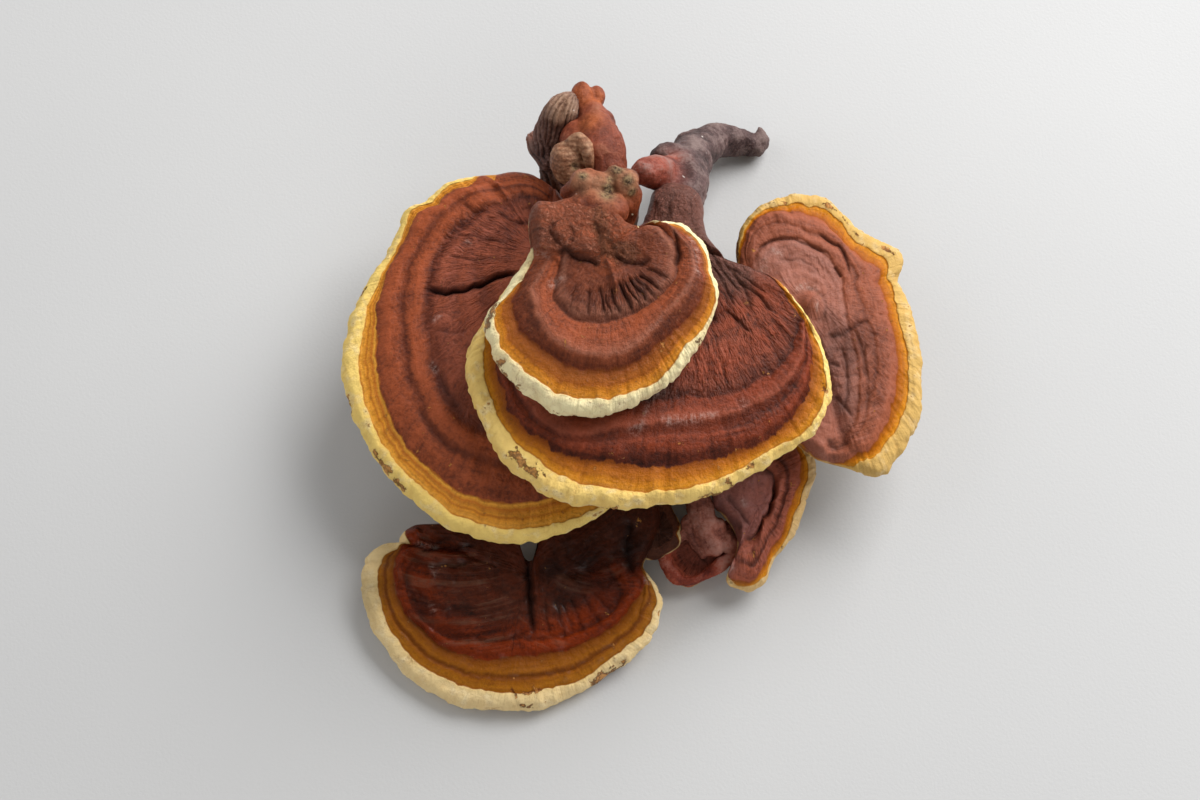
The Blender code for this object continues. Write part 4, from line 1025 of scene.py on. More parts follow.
def ball(u, v, height, radii, turned=0):
    """An egg about a seen point: a unit ball, stretched and then turned about the vertical."""
    down = np.linspace(0, math.pi, BALL_ROWS)[:, None]
    turn = (np.arange(AROUND) * 2 * math.pi / AROUND)[None, :]
    around, beside = np.sin(down) * np.cos(turn), np.sin(down) * np.sin(turn)
    unit = np.stack(np.broadcast_arrays(around, beside, np.cos(down)))
    x, y, z = unit * np.array(radii, float)[:, None, None]
    cosine, sine = math.cos(math.radians(turned)), math.sin(math.radians(turned))
    middle = np.array([*seen_at(u, v, height), height])
    grid = np.stack([x * cosine - y * sine, x * sine + y * cosine, z], axis=-1) + middle
    quads, triangles = pole_to_pole(grid.shape[:2])
    return one_pole_each_end(grid), quads, triangles, middle[None]


# %% One skin over all forms
RELAXING = 0.6  # how far a point moves to the middle of its neighbours in a round


def read_points(mesh, what="co"):
    """The points of a mesh in millimetres, or its normals."""
    values = np.empty(len(mesh.vertices) * 3, np.float32)
    if what == "co":
        mesh.vertices.foreach_get("co", values)
        return values.reshape(-1, 3).astype(float) / MM
    mesh.vertices.foreach_get("normal", values)
    return values.reshape(-1, 3).astype(float)


def one_skin(forms, cell, rounds):
    """The mesh of one skin over all the forms, with cells of one size, relaxed a number of rounds."""
    points, quads, triangles, offset = [], [], [], 0
    for form_points, form_quads, form_triangles, _ in forms:
        points.append(form_points)
        quads.append(form_quads + offset)
        triangles.append(form_triangles + offset)
        offset += len(form_points)
    arrays = [np.concatenate(part) for part in (points, quads, triangles)]
    rough = mesh_piece("rough_forms", None, *arrays, {})
    skin = rough.modifiers.new("skin", "REMESH")
    skin.mode = "VOXEL"
    skin.voxel_size = cell * MM
    graph = bpy.context.evaluated_depsgraph_get()
    mesh = bpy.data.meshes.new_from_object(rough.evaluated_get(graph))
    places = read_points(mesh)
    ends = np.empty(len(mesh.edges) * 2, np.int32)
    mesh.edges.foreach_get("vertices", ends)
    a, b = ends.reshape(-1, 2).T
    points_of, neighbours = np.concatenate([a, b]), np.concatenate([b, a])
    friends = np.bincount(points_of, minlength=len(places))[:, None]
    for _ in range(rounds):
        sums = [np.bincount(points_of, axis[neighbours], minlength=len(places)) for axis in places.T]
        places = places + RELAXING * (np.stack(sums, axis=1) / friends - places)
    mesh.vertices.foreach_set("co", (places * MM).ravel())
    bpy.data.objects.remove(rough)
    return mesh


# %% Wrinkles, rings and spots on a skin
PART_SIZE = 4000  # points whose nearest places are searched for at a time
GROOVES, GROOVE_LENGTH = 4.5, 24  # how close wrinkles are round a branch, and steps of path along one
RING_REACH, RING_DEPTH, RING_WIDTH = 13, 0.55, 0.8
FINE_LUMPS, CRUSTY_LUMPS = 0.2, 0.5  # the lowest relief, on bark and on crusty places


def bell_about(places, u, v, height, wide):
    """1 at a seen place, falling off over a width."""
    middle = np.array([*seen_at(u, v, height), height])
    return np.exp(-((places - middle) ** 2).sum(axis=1) / wide**2)


def nearest_on(path, places):
    """The number of the nearest path point for every place, worked out in parts that fit the memory."""
    return np.concatenate([
        ((part[:, None] - path[None]) ** 2).sum(axis=2).argmin(axis=1)
        for part in np.array_split(places, len(places) // PART_SIZE + 1)
    ])


def turn_about(outwards, ahead):
    """The angle of a direction about a branch that runs ahead, from the branch's upper side."""
    side = np.cross(ahead, (0, 0, 1))
    other = np.cross(side, ahead)
    return np.arctan2((outwards * other).sum(axis=1) / np.linalg.norm(other, axis=1),
                      (outwards * side).sum(axis=1) / np.linalg.norm(side, axis=1))


def ring_groove(places, path, seen):
    """1 in a groove round the branch at a seen place, falling off to both sides along the branch."""
    middle = np.array([*seen_at(*seen), seen[2]])
    here = ((path - middle) ** 2).sum(axis=1).argmin()
    ahead = path[min(here + 1, len(path) - 1)] - path[here - 1]
    across = (places - path[here]) @ ahead / np.linalg.norm(ahead) + 0.8 * noise(*(places.T / 4))
    close = np.linalg.norm(places - path[here], axis=1) < RING_REACH
    return close * np.exp(-((across / RING_WIDTH) ** 2))


def grown_piece(name, node, forms, cell=0.7, rounds=8, wrinkle=0.35, lumps=0.5, spots=(), rings=(),
                tints=(), ribs=(0, 0), seed=0):
    """A stipe or a group of knobs as one skin with bark. Each point knows its nearest place on the paths,
    so wrinkles can run along the branch: their noise reads the direction away from the path. Ribs are
    even waves round the path. A ring is a groove round the branch at a seen place, and a tint is a place
    with the bark's second colour."""
    mesh = one_skin(forms, cell, rounds)
    mesh.update()
    places, normals = read_points(mesh), read_points(mesh, "normal")
    paths = [form[3] for form in forms]
    path = np.concatenate(paths)
    nearest = nearest_on(path, places)
    outwards = places - path[nearest]
    outwards /= np.linalg.norm(outwards, axis=1, keepdims=True)
    along = nearest / GROOVE_LENGTH
    x, y, z = outwards.T * GROOVES
    grooves = noise(x, y, z + along + seed)
    push = -wrinkle * np.exp(-((grooves / 0.25) ** 2)) + lumps * rough_noise(*(places.T / 6), layers=2)
    push += FINE_LUMPS * rough_noise(*(places.T / 1.8), layers=2)
    ahead = np.concatenate([np.gradient(one, axis=0) if len(one) > 1 else [[0, 1, 0]] for one in paths])
    turn = turn_about(outwards, ahead[nearest])
    count, deep = ribs
    push += deep * (np.abs(np.cos(count / 2 * turn + 1.2 * noise(*(places.T / 5)))) - 0.6)
    for seen in rings:
        push -= RING_DEPTH * ring_groove(places, path, seen)
    relief = push.copy()
    granular, tint = np.zeros(len(places)), np.zeros(len(places))
    for u, v, height, wide, deep in spots:
        bell = bell_about(places, u, v, height, wide)
        granular = np.maximum(granular, bell)
        push -= deep * bell
    for u, v, height, wide in tints:
        tint = np.maximum(tint, np.minimum(1.6 * bell_about(places, u, v, height, wide), 1))
    push += CRUSTY_LUMPS * granular * rough_noise(*(places.T / 1.1), layers=2)
    places = places + normals * push[:, None]
    places[:, 2] = np.maximum(places[:, 2], 0)
    mesh.vertices.foreach_set("co", (places * MM).ravel())
    return finish_piece(mesh, name, node, {
        "relief": relief, "granular": granular, "tint": tint, "facing_up": normals[:, 2].copy(),
        "grain": outwards + 0.15 * along[:, None],
    })


# %% [markdown]
# The bare stem rises from its broken end on the cloth to the middle fan's neck. It is smooth and only
# faintly wrinkled, so its lumps are low, and the nub that leaves it has the bark's second colour.

# %% The bare stem at the right, with its reddish nub
grown_piece(
    "bare_stem", "right_stem",
    [branch([(760, 142, 4.6, 3.4), (752, 145, 4.6, 4.6), (737, 142, 6, 5.4), (718, 141, 10, 6.2),
        (703, 147, 17, 7.2), (693, 156, 26, 8.0), (685, 170, 36, 8.8), (682, 185, 45, 8.8),
        (680, 202, 49, 7.6)]), ball(666, 155, 40, (6.4, 4.6, 6), 15), ball(690, 146, 22, (6, 5, 6)),
        ball(699, 186, 34, (3.6, 7.5, 7)), ball(716, 133, 11, (6, 3, 4)),
        ball(760, 134, 6.4, (1.2, 2.6, 1.4)), ball(756, 150, 4.2, (3, 2.6, 3)),
        ball(762, 141, 5.5, (1.2, 1.2, 1.6)), branch([(678, 176, 41, 6.2), (664, 173, 51, 5.8),
        (652, 172, 58, 5.4), (645, 172, 61, 5.0)])],
    cell=0.65, rounds=6, wrinkle=0.16, lumps=0.7, rings=[(708, 146, 14)],
    tints=[(640, 172, 63, 8), (650, 172, 59, 8), (660, 171, 54, 7), (668, 164, 48, 5)], seed=1,
)

# %% [markdown]
# Behind the upper fan the stipe ends in a ring of small knobs round a crusty pit. They are balls under
# one skin, and the pit is a spot that is pressed in and made granular. Cutting a hole would leave a
# sharp edge, and the real pit has none.

# %% The stipe behind the upper fan and its knobs
grown_piece(
    "upper_stem", "upper_stipe",
    [branch([(586, 246, 15, 8), (600, 238, 32, 8), (614, 222, 48, 7.5), (617, 206, 60, 7),
        (612, 195, 67, 6)])],
    seed=3,
)
grown_piece(
    "top_knobs", "upper_stipe",
    [ball(583, 184, 74, (4.8, 4.6, 4.6)), ball(600, 187, 73, (5.6, 5.2, 5.2)),
        ball(626, 184, 73, (4.7, 5.2, 5.2)), ball(614, 172, 75, (2.9, 2.5, 3.0)),
        ball(572, 192, 71, (4, 3.6, 4)), ball(590, 174, 75, (2.2, 1.8, 2.4)),
        ball(632, 176, 74, (2.6, 2.6, 3)), ball(607, 203, 70, (8.5, 5, 5.5)), ball(585, 203, 69, (6, 5, 5)),
        branch([(632, 192, 70, 3.6), (628, 208, 66, 3.8), (621, 222, 62, 3.6)]),
        ball(596, 210, 74.5, (11, 7, 5.2)), ball(580, 214, 74, (7, 6, 4.6))],
    cell=0.5, rounds=5, wrinkle=0.15, lumps=0.6,
    spots=[(606, 197, 77, 3.0, 1.5), (609, 188, 77, 2.6, 0.6), (612, 178, 78, 2.2, 0.3),
        (583, 176, 78.5, 1.8, 0.2), (618, 169, 78, 2.4, 0.0), (628, 180, 78, 2.2, 0.1),
        (632, 192, 75, 1.8, 0.0)],
    tints=[(582, 181, 79, 4), (598, 182, 79, 3.4), (614, 172, 78, 3.6), (628, 181, 78, 4.4),
        (606, 196, 77, 3.4)],
    seed=4,
)

# %% [markdown]
# The dark stem carries a ribbed knob, a large red bulb and a lobe with wavy stripes. They differ in
# colour and in how finely they are wrinkled, so each is a skin of its own that dips into the next.

# %% The knobby stem at the left
grown_piece(
    "dark_stem", "knob_stem",
    [branch([(563, 206, 18, 6), (560, 190, 26, 5.6), (553, 171, 34, 4.8), (548, 152, 41, 4.2),
        (547, 132, 46, 4.2), (552, 117, 48, 3.6)]), branch([(549, 160, 40, 4.0), (543, 152, 39, 4.2),
        (537, 145, 38, 3.6), (534, 140, 37.5, 2.6)]), ball(573, 134, 43, (6, 6, 5))],
    cell=0.5, rounds=4, wrinkle=0.3, lumps=0.5, ribs=(11, 0.8), seed=5, tints=[(533, 138, 39, 2.5)],
)
grown_piece(
    "ribbed_knob", "knob_stem",
    [branch([(571, 101, 52, 2.8), (562, 106, 53, 4.0), (556, 115, 52, 4.4), (553, 127, 49, 4.0),
        (551, 138, 46, 3.4)]), branch([(572, 103, 53, 2.4), (568, 113, 53, 3.0), (566, 123, 50, 2.4)])],
    cell=0.4, rounds=3, wrinkle=0.1, lumps=0.6, ribs=(14, 0.75), seed=10,
    tints=[(565, 103, 58, 5), (560, 112, 58, 4)],
)
grown_piece(
    "red_bulb", "knob_stem",
    [branch([(612, 206, 54, 5), (608, 186, 52, 6.4), (605, 168, 53, 7.7), (601, 150, 54, 8.2),
        (598, 134, 53, 7.2), (593, 119, 51, 5.4), (587, 106, 49, 4)]),
        ball(582, 96, 50, (3.8, 5.4, 4.2), 5), ball(582, 89, 51, (2.6, 3.2, 3)),
        ball(597, 97, 48, (2.9, 4.2, 3.2), 8), ball(582, 143, 50, (8, 8.5, 6.5)),
        ball(606, 122, 50, (3.4, 4, 4))],
    cell=0.5, rounds=5, wrinkle=0.04, lumps=0.5, seed=6,
    tints=[(583, 90, 54, 5), (597, 97, 52, 3.5), (590, 124, 58, 4)],
)
grown_piece(
    "striped_lobe", "knob_stem",
    [ball(568, 163, 55, (6.2, 8.0, 6.4), 15), ball(575, 147, 58, (4.0, 4.4, 4.2), 20),
        branch([(570, 141, 60.5, 1.5), (578, 138, 61.5, 1.9), (585, 144, 62, 2.1), (588, 156, 61.5, 2.0),
        (590, 167, 59, 1.6)])],
    cell=0.45, rounds=4, wrinkle=0.1, lumps=0.4, seed=7, spots=[(577, 166, 61, 2.2, 1.6)],
)

# %% [markdown]
# The last two carry the small cap and the whole cluster. The base can't be seen from above, so it is
# kept plain: branches that run to the foot of each fan and meet in two swellings.

# %% The small cap's thin stem and the base stipe under the fans
grown_piece(
    "small_stem", "small_cap",
    [branch([(702, 534, 7, 4.2), (698, 510, 10, 4.2), (690, 485, 13, 4.4), (672, 452, 15, 5)])], cell=0.6,
    seed=8,
)
grown_piece(
    "small_lumps", "small_cap",
    [branch([(700, 498, 15, 4.0), (702, 514, 14, 4.4), (706, 530, 12.5, 4.6), (712, 544, 10.5, 4.2)]),
        branch([(690, 524, 11.5, 3.0), (694, 540, 10.0, 2.4), (703, 555, 8.6, 1.8)]),
        branch([(688, 530, 10.5, 2.0), (676, 542, 8.8, 1.9), (665, 553, 7.6, 1.8), (666, 567, 6.8, 1.8),
        (678, 579, 6.2, 1.9), (690, 582, 6.1, 1.9), (705, 575, 6.6, 1.9), (720, 565, 7.6, 2.1),
        (733, 556, 8.4, 2.0)]), ball(729, 539, 10.5, (4.4, 4.6, 3.6), 30),
        ball(717, 529, 12, (3.6, 3.6, 3.6)), branch([(734, 523, 12, 1.7), (741, 528, 12, 1.6),
        (745, 539, 11.5, 1.5), (743, 549, 10.5, 1.5)])],
    cell=0.45, rounds=4, wrinkle=0.2, lumps=0.8, seed=11,
    tints=[(664, 554, 9, 4), (668, 567, 8, 4), (680, 579, 7, 4), (692, 581, 7, 4), (706, 574, 8, 4),
        (720, 565, 9, 4)],
)
grown_piece(
    "base_branches", "base_stipe",
    [branch([(557, 184, 13, 3), (562, 200, 10, 8.5), (580, 258, 9, 11), (604, 325, 10, 9.5),
        (626, 385, 11, 10), (642, 432, 12, 8.5), (648, 450, 12, 5)]),
        branch([(572, 250, 11, 7), (560, 256, 23, 7), (552, 262, 33, 9)]), branch([(610, 345, 11, 7),
        (680, 352, 13, 7), (745, 335, 18, 6), (796, 314, 26, 6.5)]), branch([(634, 425, 12, 7),
        (612, 462, 12, 6.5), (592, 498, 12, 6), (584, 520, 11, 4.5)]), branch([(634, 420, 12, 7),
        (690, 446, 14, 6.5), (735, 466, 15, 5), (752, 490, 13, 4)]), ball(566, 232, 13, (12, 10, 10), 20),
        ball(634, 412, 12, (11, 9, 9), -30)],
    cell=0.9, wrinkle=0.6, lumps=0.9, seed=9,
)

# %% [markdown]
# ## Writing materials as sums
#
# A material is a tree of nodes, but it reads better as arithmetic. The small class below stands for any
# value in a tree. Adding or multiplying such values adds the Math node that does it, and one method
# makes every other kind of node.

# %% Values
class Value:
    """A number that flows through a material: a node's output that can be reckoned with."""

    def __init__(self, recipe, socket):
        self.recipe, self.socket = recipe, socket

    def reckon(self, operation, *others):
        """The result of an operation on this value and the others, in their order."""
        return self.recipe.node("ShaderNodeMath", {"operation": operation},
                                dict(enumerate((self, *others))))

    def __add__(self, other):
        return self.reckon("ADD", other)

    def __sub__(self, other):
        return self.reckon("SUBTRACT", other)

    def __mul__(self, other):
        return self.reckon("MULTIPLY", other)

    def __truediv__(self, other):
        return self.reckon("DIVIDE", other)

    def __rsub__(self, other):
        return self.recipe.node("ShaderNodeMath", {"operation": "SUBTRACT"}, {0: other, 1: self})

    __radd__, __rmul__ = __add__, __mul__

    def clipped(self):
        """The value, but never below 0 or above 1."""
        return self.recipe.node("ShaderNodeClamp", {}, {"Value": self})

    def above(self, limit, softness):
        """0 well below the limit, 1 well above it, and a straight rise as wide as softness between."""
        return ((self - limit) / softness + 0.5).clipped()


# %% Recipes
class Recipe:
    """A material in the making, round one Principled shader."""

    def __init__(self, name):
        self.material = bpy.data.materials.new(name)
        self.material.use_nodes = True
        self.tree = self.material.node_tree
        self.shader = self.tree.nodes["Principled BSDF"]

    def node(self, kind, settings, inputs, output=0):
        """One of a node's outputs, after its settings and its inputs were filled in."""
        made = self.tree.nodes.new(kind)
        for label, setting in settings.items():
            if label == "stops":
                self.set_stops(made.color_ramp, setting)
            else:
                setattr(made, label, setting)
        for label, value in inputs.items():
            self.feed(made.inputs[label], value)
        return Value(self, made.outputs[output])

    def set_stops(self, ramp, stops):
        """Puts rows of position and colour into a ramp in place of its own."""
        for spare in list(ramp.elements)[1:]:
            ramp.elements.remove(spare)
        for count, (position, colour) in enumerate(stops):
            stop = ramp.elements.new(position) if count else ramp.elements[0]
            stop.position, stop.color = position, (*colour, 1)

    def ramp(self, share, stops):
        """A colour that runs through the stops as share goes from 0 to 1."""
        return self.node("ShaderNodeValToRGB", {"stops": stops}, {"Fac": share})

    def feed(self, socket, value):
        """A value flows into a socket through a link, and a plain number is written onto it."""
        if isinstance(value, Value):
            self.tree.links.new(value.socket, socket)
        else:
            socket.default_value = value

    def set(self, **inputs):
        """Feeds the shader's own sockets and gives back the material."""
        for label, value in inputs.items():
            self.feed(self.shader.inputs[label.replace("_", " ")], value)
        return self.material

    def number(self, label):
        """A number kept with the surface's points."""
        return self.node("ShaderNodeAttribute", {"attribute_name": label}, {}, "Fac")

    def places(self, label=None, stretch=(1, 1, 1)):
        """The surface's own places, or a vector kept with its points, stretched."""
        if label:
            place = self.node("ShaderNodeAttribute", {"attribute_name": label}, {}, "Vector")
        else:
            place = self.node("ShaderNodeTexCoord", {}, {}, "Object")
        return self.node("ShaderNodeMapping", {}, {"Vector": place, "Scale": stretch})

    def noise(self, place, scale, detail=3.0, roughness=0.5):
        """Noise from 0 to 1 that is mostly near a half."""
        inputs = {"Vector": place, "Scale": scale, "Detail": detail, "Roughness": roughness}
        return self.node("ShaderNodeTexNoise", {}, inputs)

    def mix(self, share, first, second):
        """A colour between two, where share 0 is the first."""
        colours = [colour if isinstance(colour, Value) else (*colour, 1) for colour in (first, second)]
        inputs = {0: share, 6: colours[0], 7: colours[1]}
        return self.node("ShaderNodeMix", {"data_type": "RGBA"}, inputs, 2)

    def bump(self, height, distance=0.0005, strength=0.9):
        """The direction of a surface that a height lifts by up to this distance, in metres."""
        return self.node("ShaderNodeBump", {}, {"Height": height, "Distance": distance,
                                                "Strength": strength})


# %% [markdown]
# ## The fans' lacquered skin
#
# From the margin inwards a fan is cream, golden amber, brown amber and then red-brown. The distance from
# the margin was kept with every point, so the borders are drawn by comparing it with the width of each
# band, with a little noise. The amber itself is a ramp of thin layers. Noise that changes fast round the
# turn and slowly along the way out gives the fine fibres. The underside is pale pores. Shade is painted
# into the furrows, the creases and a few named spots, and highlight and sheen onto the crests of pleats and
# folds.

# %% The amber's colours, from the cream inwards
def shade(red, green, blue):
    """A colour given as a screen's 0 to 255, as the light it stands for: the screen's curve undone."""
    return tuple(((part / 255 + 0.055) / 1.055) ** 2.4 for part in (red, green, blue))


GOLDEN = [(0.0, (192, 122, 32)), (0.10, (234, 164, 58)), (0.30, (226, 151, 44)), (0.42, (190, 113, 28)),
    (0.52, (226, 152, 46)), (0.74, (194, 112, 32)), (0.90, (236, 168, 60)), (1.0, (188, 106, 36))]
TWO_TONE = [(0.0, (188, 116, 28)), (0.08, (216, 140, 38)), (0.34, (202, 120, 26)), (0.46, (160, 86, 20)),
    (0.62, (164, 90, 26)), (0.85, (144, 74, 22)), (1.0, (132, 64, 26))]
HONEY = [(0.0, (182, 112, 20)), (0.12, (210, 136, 24)), (0.5, (190, 110, 14)), (0.75, (168, 92, 12)),
    (1.0, (146, 72, 16))]
SHADED = [(0.0, (146, 86, 12)), (0.12, (168, 104, 20)), (0.30, (152, 88, 12)), (0.40, (116, 60, 8)),
    (0.47, (120, 64, 8)), (0.58, (156, 92, 16)), (0.85, (134, 72, 8)), (1.0, (112, 52, 8))]
AMBER_GRAIN, AMBER_RINGS, AMBER_STREAKS = shade(116, 58, 14), shade(128, 70, 18), shade(132, 74, 20)
YELLOWED, PALE_FLECKS, NEXT_TO_AMBER = shade(232, 184, 92), shade(252, 242, 208), shade(232, 180, 78)
DENTED, CRACKED, FLAWED = shade(182, 124, 56), shade(170, 112, 48), shade(150, 96, 46)
SCAR_DARK, SCAR_LIGHT = shade(92, 36, 12), shade(200, 134, 66)
# The second colour here is also used for painted glints.
BARK_DARK, CHALK_AND_GLINT = shade(70, 44, 38), shade(206, 194, 184)
PORE, FLESH = shade(126, 98, 72), shade(205, 180, 146)
print("the amber has up to", len(GOLDEN), "layers")

# %% [markdown]
# All parts of a skin read the same few noises. Noise on the fan's own direction and stage is stretched
# into rings or streaks, noise on its fibres into wrinkles, and noise on plain places gives grain and
# patches. They could be made anew wherever they are needed, but shared ones make the colour, the
# gloss and the relief agree.

# %% The noises of a fan's skin
def fan_noises(r):
    """The noises and the kept numbers that several parts of a fan's skin use, by name."""
    place = r.places()
    n = types.SimpleNamespace(
        place=place,
        from_rim=r.number("from_rim"),
        cream=r.number("cream"),
        amber=r.number("amber"),
        tone=r.number("tone"),
        dust=r.number("dust"),
        wrinkled=r.number("furrow"),
        # The painted shade of creases and of the seams between lumps.
        creases=r.number("crease"),
        streaks=r.noise(r.places("fan", (42, 42, 5)), 1.0, 4, 0.6),
        rings=r.noise(r.places("fan", (2.2, 2.2, 42)), 1.0, 3),
        patches=r.noise(place, 130),
        grain=r.noise(place, 800, 4, 0.7),
        drift=r.noise(place, 260, 2),
        dents=r.noise(place, 420, 3, 0.6),
        bands=r.noise(r.places("fan", (1.3, 1.3, 14)), 1.0, 1),
        radial=r.noise(r.places("fibre", (17, 17, 4)), 1.0, 2),
        pleats=r.noise(r.places("fibre", (44, 44, 8)), 1.0, 3, 0.65),
        teeth=r.noise(r.places("fan", (20, 20, 1.5)), 1.0, 2),
        ripples=r.noise(r.places("fan", (34, 34, 6)), 1.0, 2),
        lobes=r.noise(r.places("fibre", (1.5, 1.5, 13)), 1.0, 4, 0.62),
    )
    n.dusty = n.dust * ((n.grain - 0.35) * 2.6).clipped() * ((n.drift - 0.3) * 1.8).clipped()
    n.gritty = r.number("grit") * ((n.grain - 0.44) * 6).clipped()
    return n


# %% The parts of a fan's skin
def amber_band(r, n, amber):
    """The amber's layers as a ramp from the cream inwards, with brown grain, rings and streaks."""
    inward = (n.from_rim - n.cream) / (n.amber + 0.05)
    inward = inward + (n.patches - 0.5) * 0.16 + (n.streaks - 0.5) * 0.12
    layers = r.ramp(inward.clipped(), [(share, shade(*colour)) for share, colour in amber])
    layers = r.mix(((n.grain - 0.45) * 2.4).clipped() * 0.55, layers, AMBER_GRAIN)
    layers = r.mix(((n.rings - 0.48) * 4).clipped() * 0.45, layers, AMBER_RINGS)
    return r.mix(((n.streaks - 0.5) * 4).clipped() * 0.35, layers, AMBER_STREAKS)


def cream_margin(r, n, cream, soft):
    """The cream with yellow patches, pale flecks, brown dents, thin cracks and a few flaws, and yellower
    next to the amber."""
    rim = r.mix(((n.patches - 0.42) * 3).clipped() * 0.22, cream, YELLOWED)
    rim = r.mix(((n.drift - 0.52) * 6).clipped() * (0.3 * soft), rim, PALE_FLECKS)
    rim = r.mix((r.number("dent") * 1.3 + (n.grain - 0.5)).clipped() * 0.17, rim, DENTED)
    cracks = (1 - (n.dents - 0.5).reckon("ABSOLUTE") * 26).clipped() * ((n.drift - 0.45) * 6).clipped()
    rim = r.mix(cracks * (0.3 * soft), rim, CRACKED)
    rim = r.mix(((n.from_rim - n.cream) / 1.6 + 1).clipped() * 0.2, rim, NEXT_TO_AMBER)
    flaws = ((r.noise(n.place, 75, 2) - 0.665) * 14).clipped() * ((n.grain - 0.42) * 8).clipped() * 0.6
    return r.mix(flaws, rim, FLAWED)


def lacquer(r, n, light, sheen, red, dark, dust_and_sheen_colour):
    """The old skin, from dark through red to a brighter red as the light goes up, where light carries
    painted highlight and painted shade. Then the dust colour where it is dusty or gritty and as painted
    sheen, and painted shade in the creases."""
    bright = tuple(1.4 * part for part in red)
    skin = r.ramp((light * 0.57).clipped(), [(0.0, dark), (0.56, red), (1.0, bright)])
    skin = r.mix((n.dusty * 0.6 + n.dust * 0.22 + sheen).clipped(), skin, dust_and_sheen_colour)
    specks = ((n.grain - 0.62) * 6).clipped() * n.tone.clipped() * 0.25
    skin = r.mix(specks + n.gritty * 0.35, skin, dust_and_sheen_colour)
    # Painted shade in the creases and the seams between lumps.
    return r.mix(n.creases * 0.85, skin, tuple(0.35 * part for part in dark))


def marked(r, n, colour, scars, bark_colour, bark_share, bark_grain):
    """The colour with its brown scars, its bark and its chalky marks, which are partly painted glints."""
    torn = r.mix(((n.drift * 0.5 + n.grain * 0.5 - 0.5) * 9).clipped(), SCAR_DARK, SCAR_LIGHT)
    colour = r.mix(scars, colour, torn)
    barky = r.mix((n.streaks * 1.1 + (n.grain - 0.5) * 1.2).clipped(), BARK_DARK, bark_colour)
    barked = r.number("bark") * 1.5 + (n.patches - 0.5) * 1.2 + (n.grain - 0.5) * bark_grain - 0.3
    colour = r.mix((barked * 1.4).clipped() * bark_share, colour, barky)
    # The chalky marks, partly painted glints.
    chalked = (n.streaks * 1.6 + n.grain * 1.8 - 1.5).clipped() * r.number("chalk_and_glints") * 0.6
    return r.mix(chalked.clipped(), colour, CHALK_AND_GLINT)


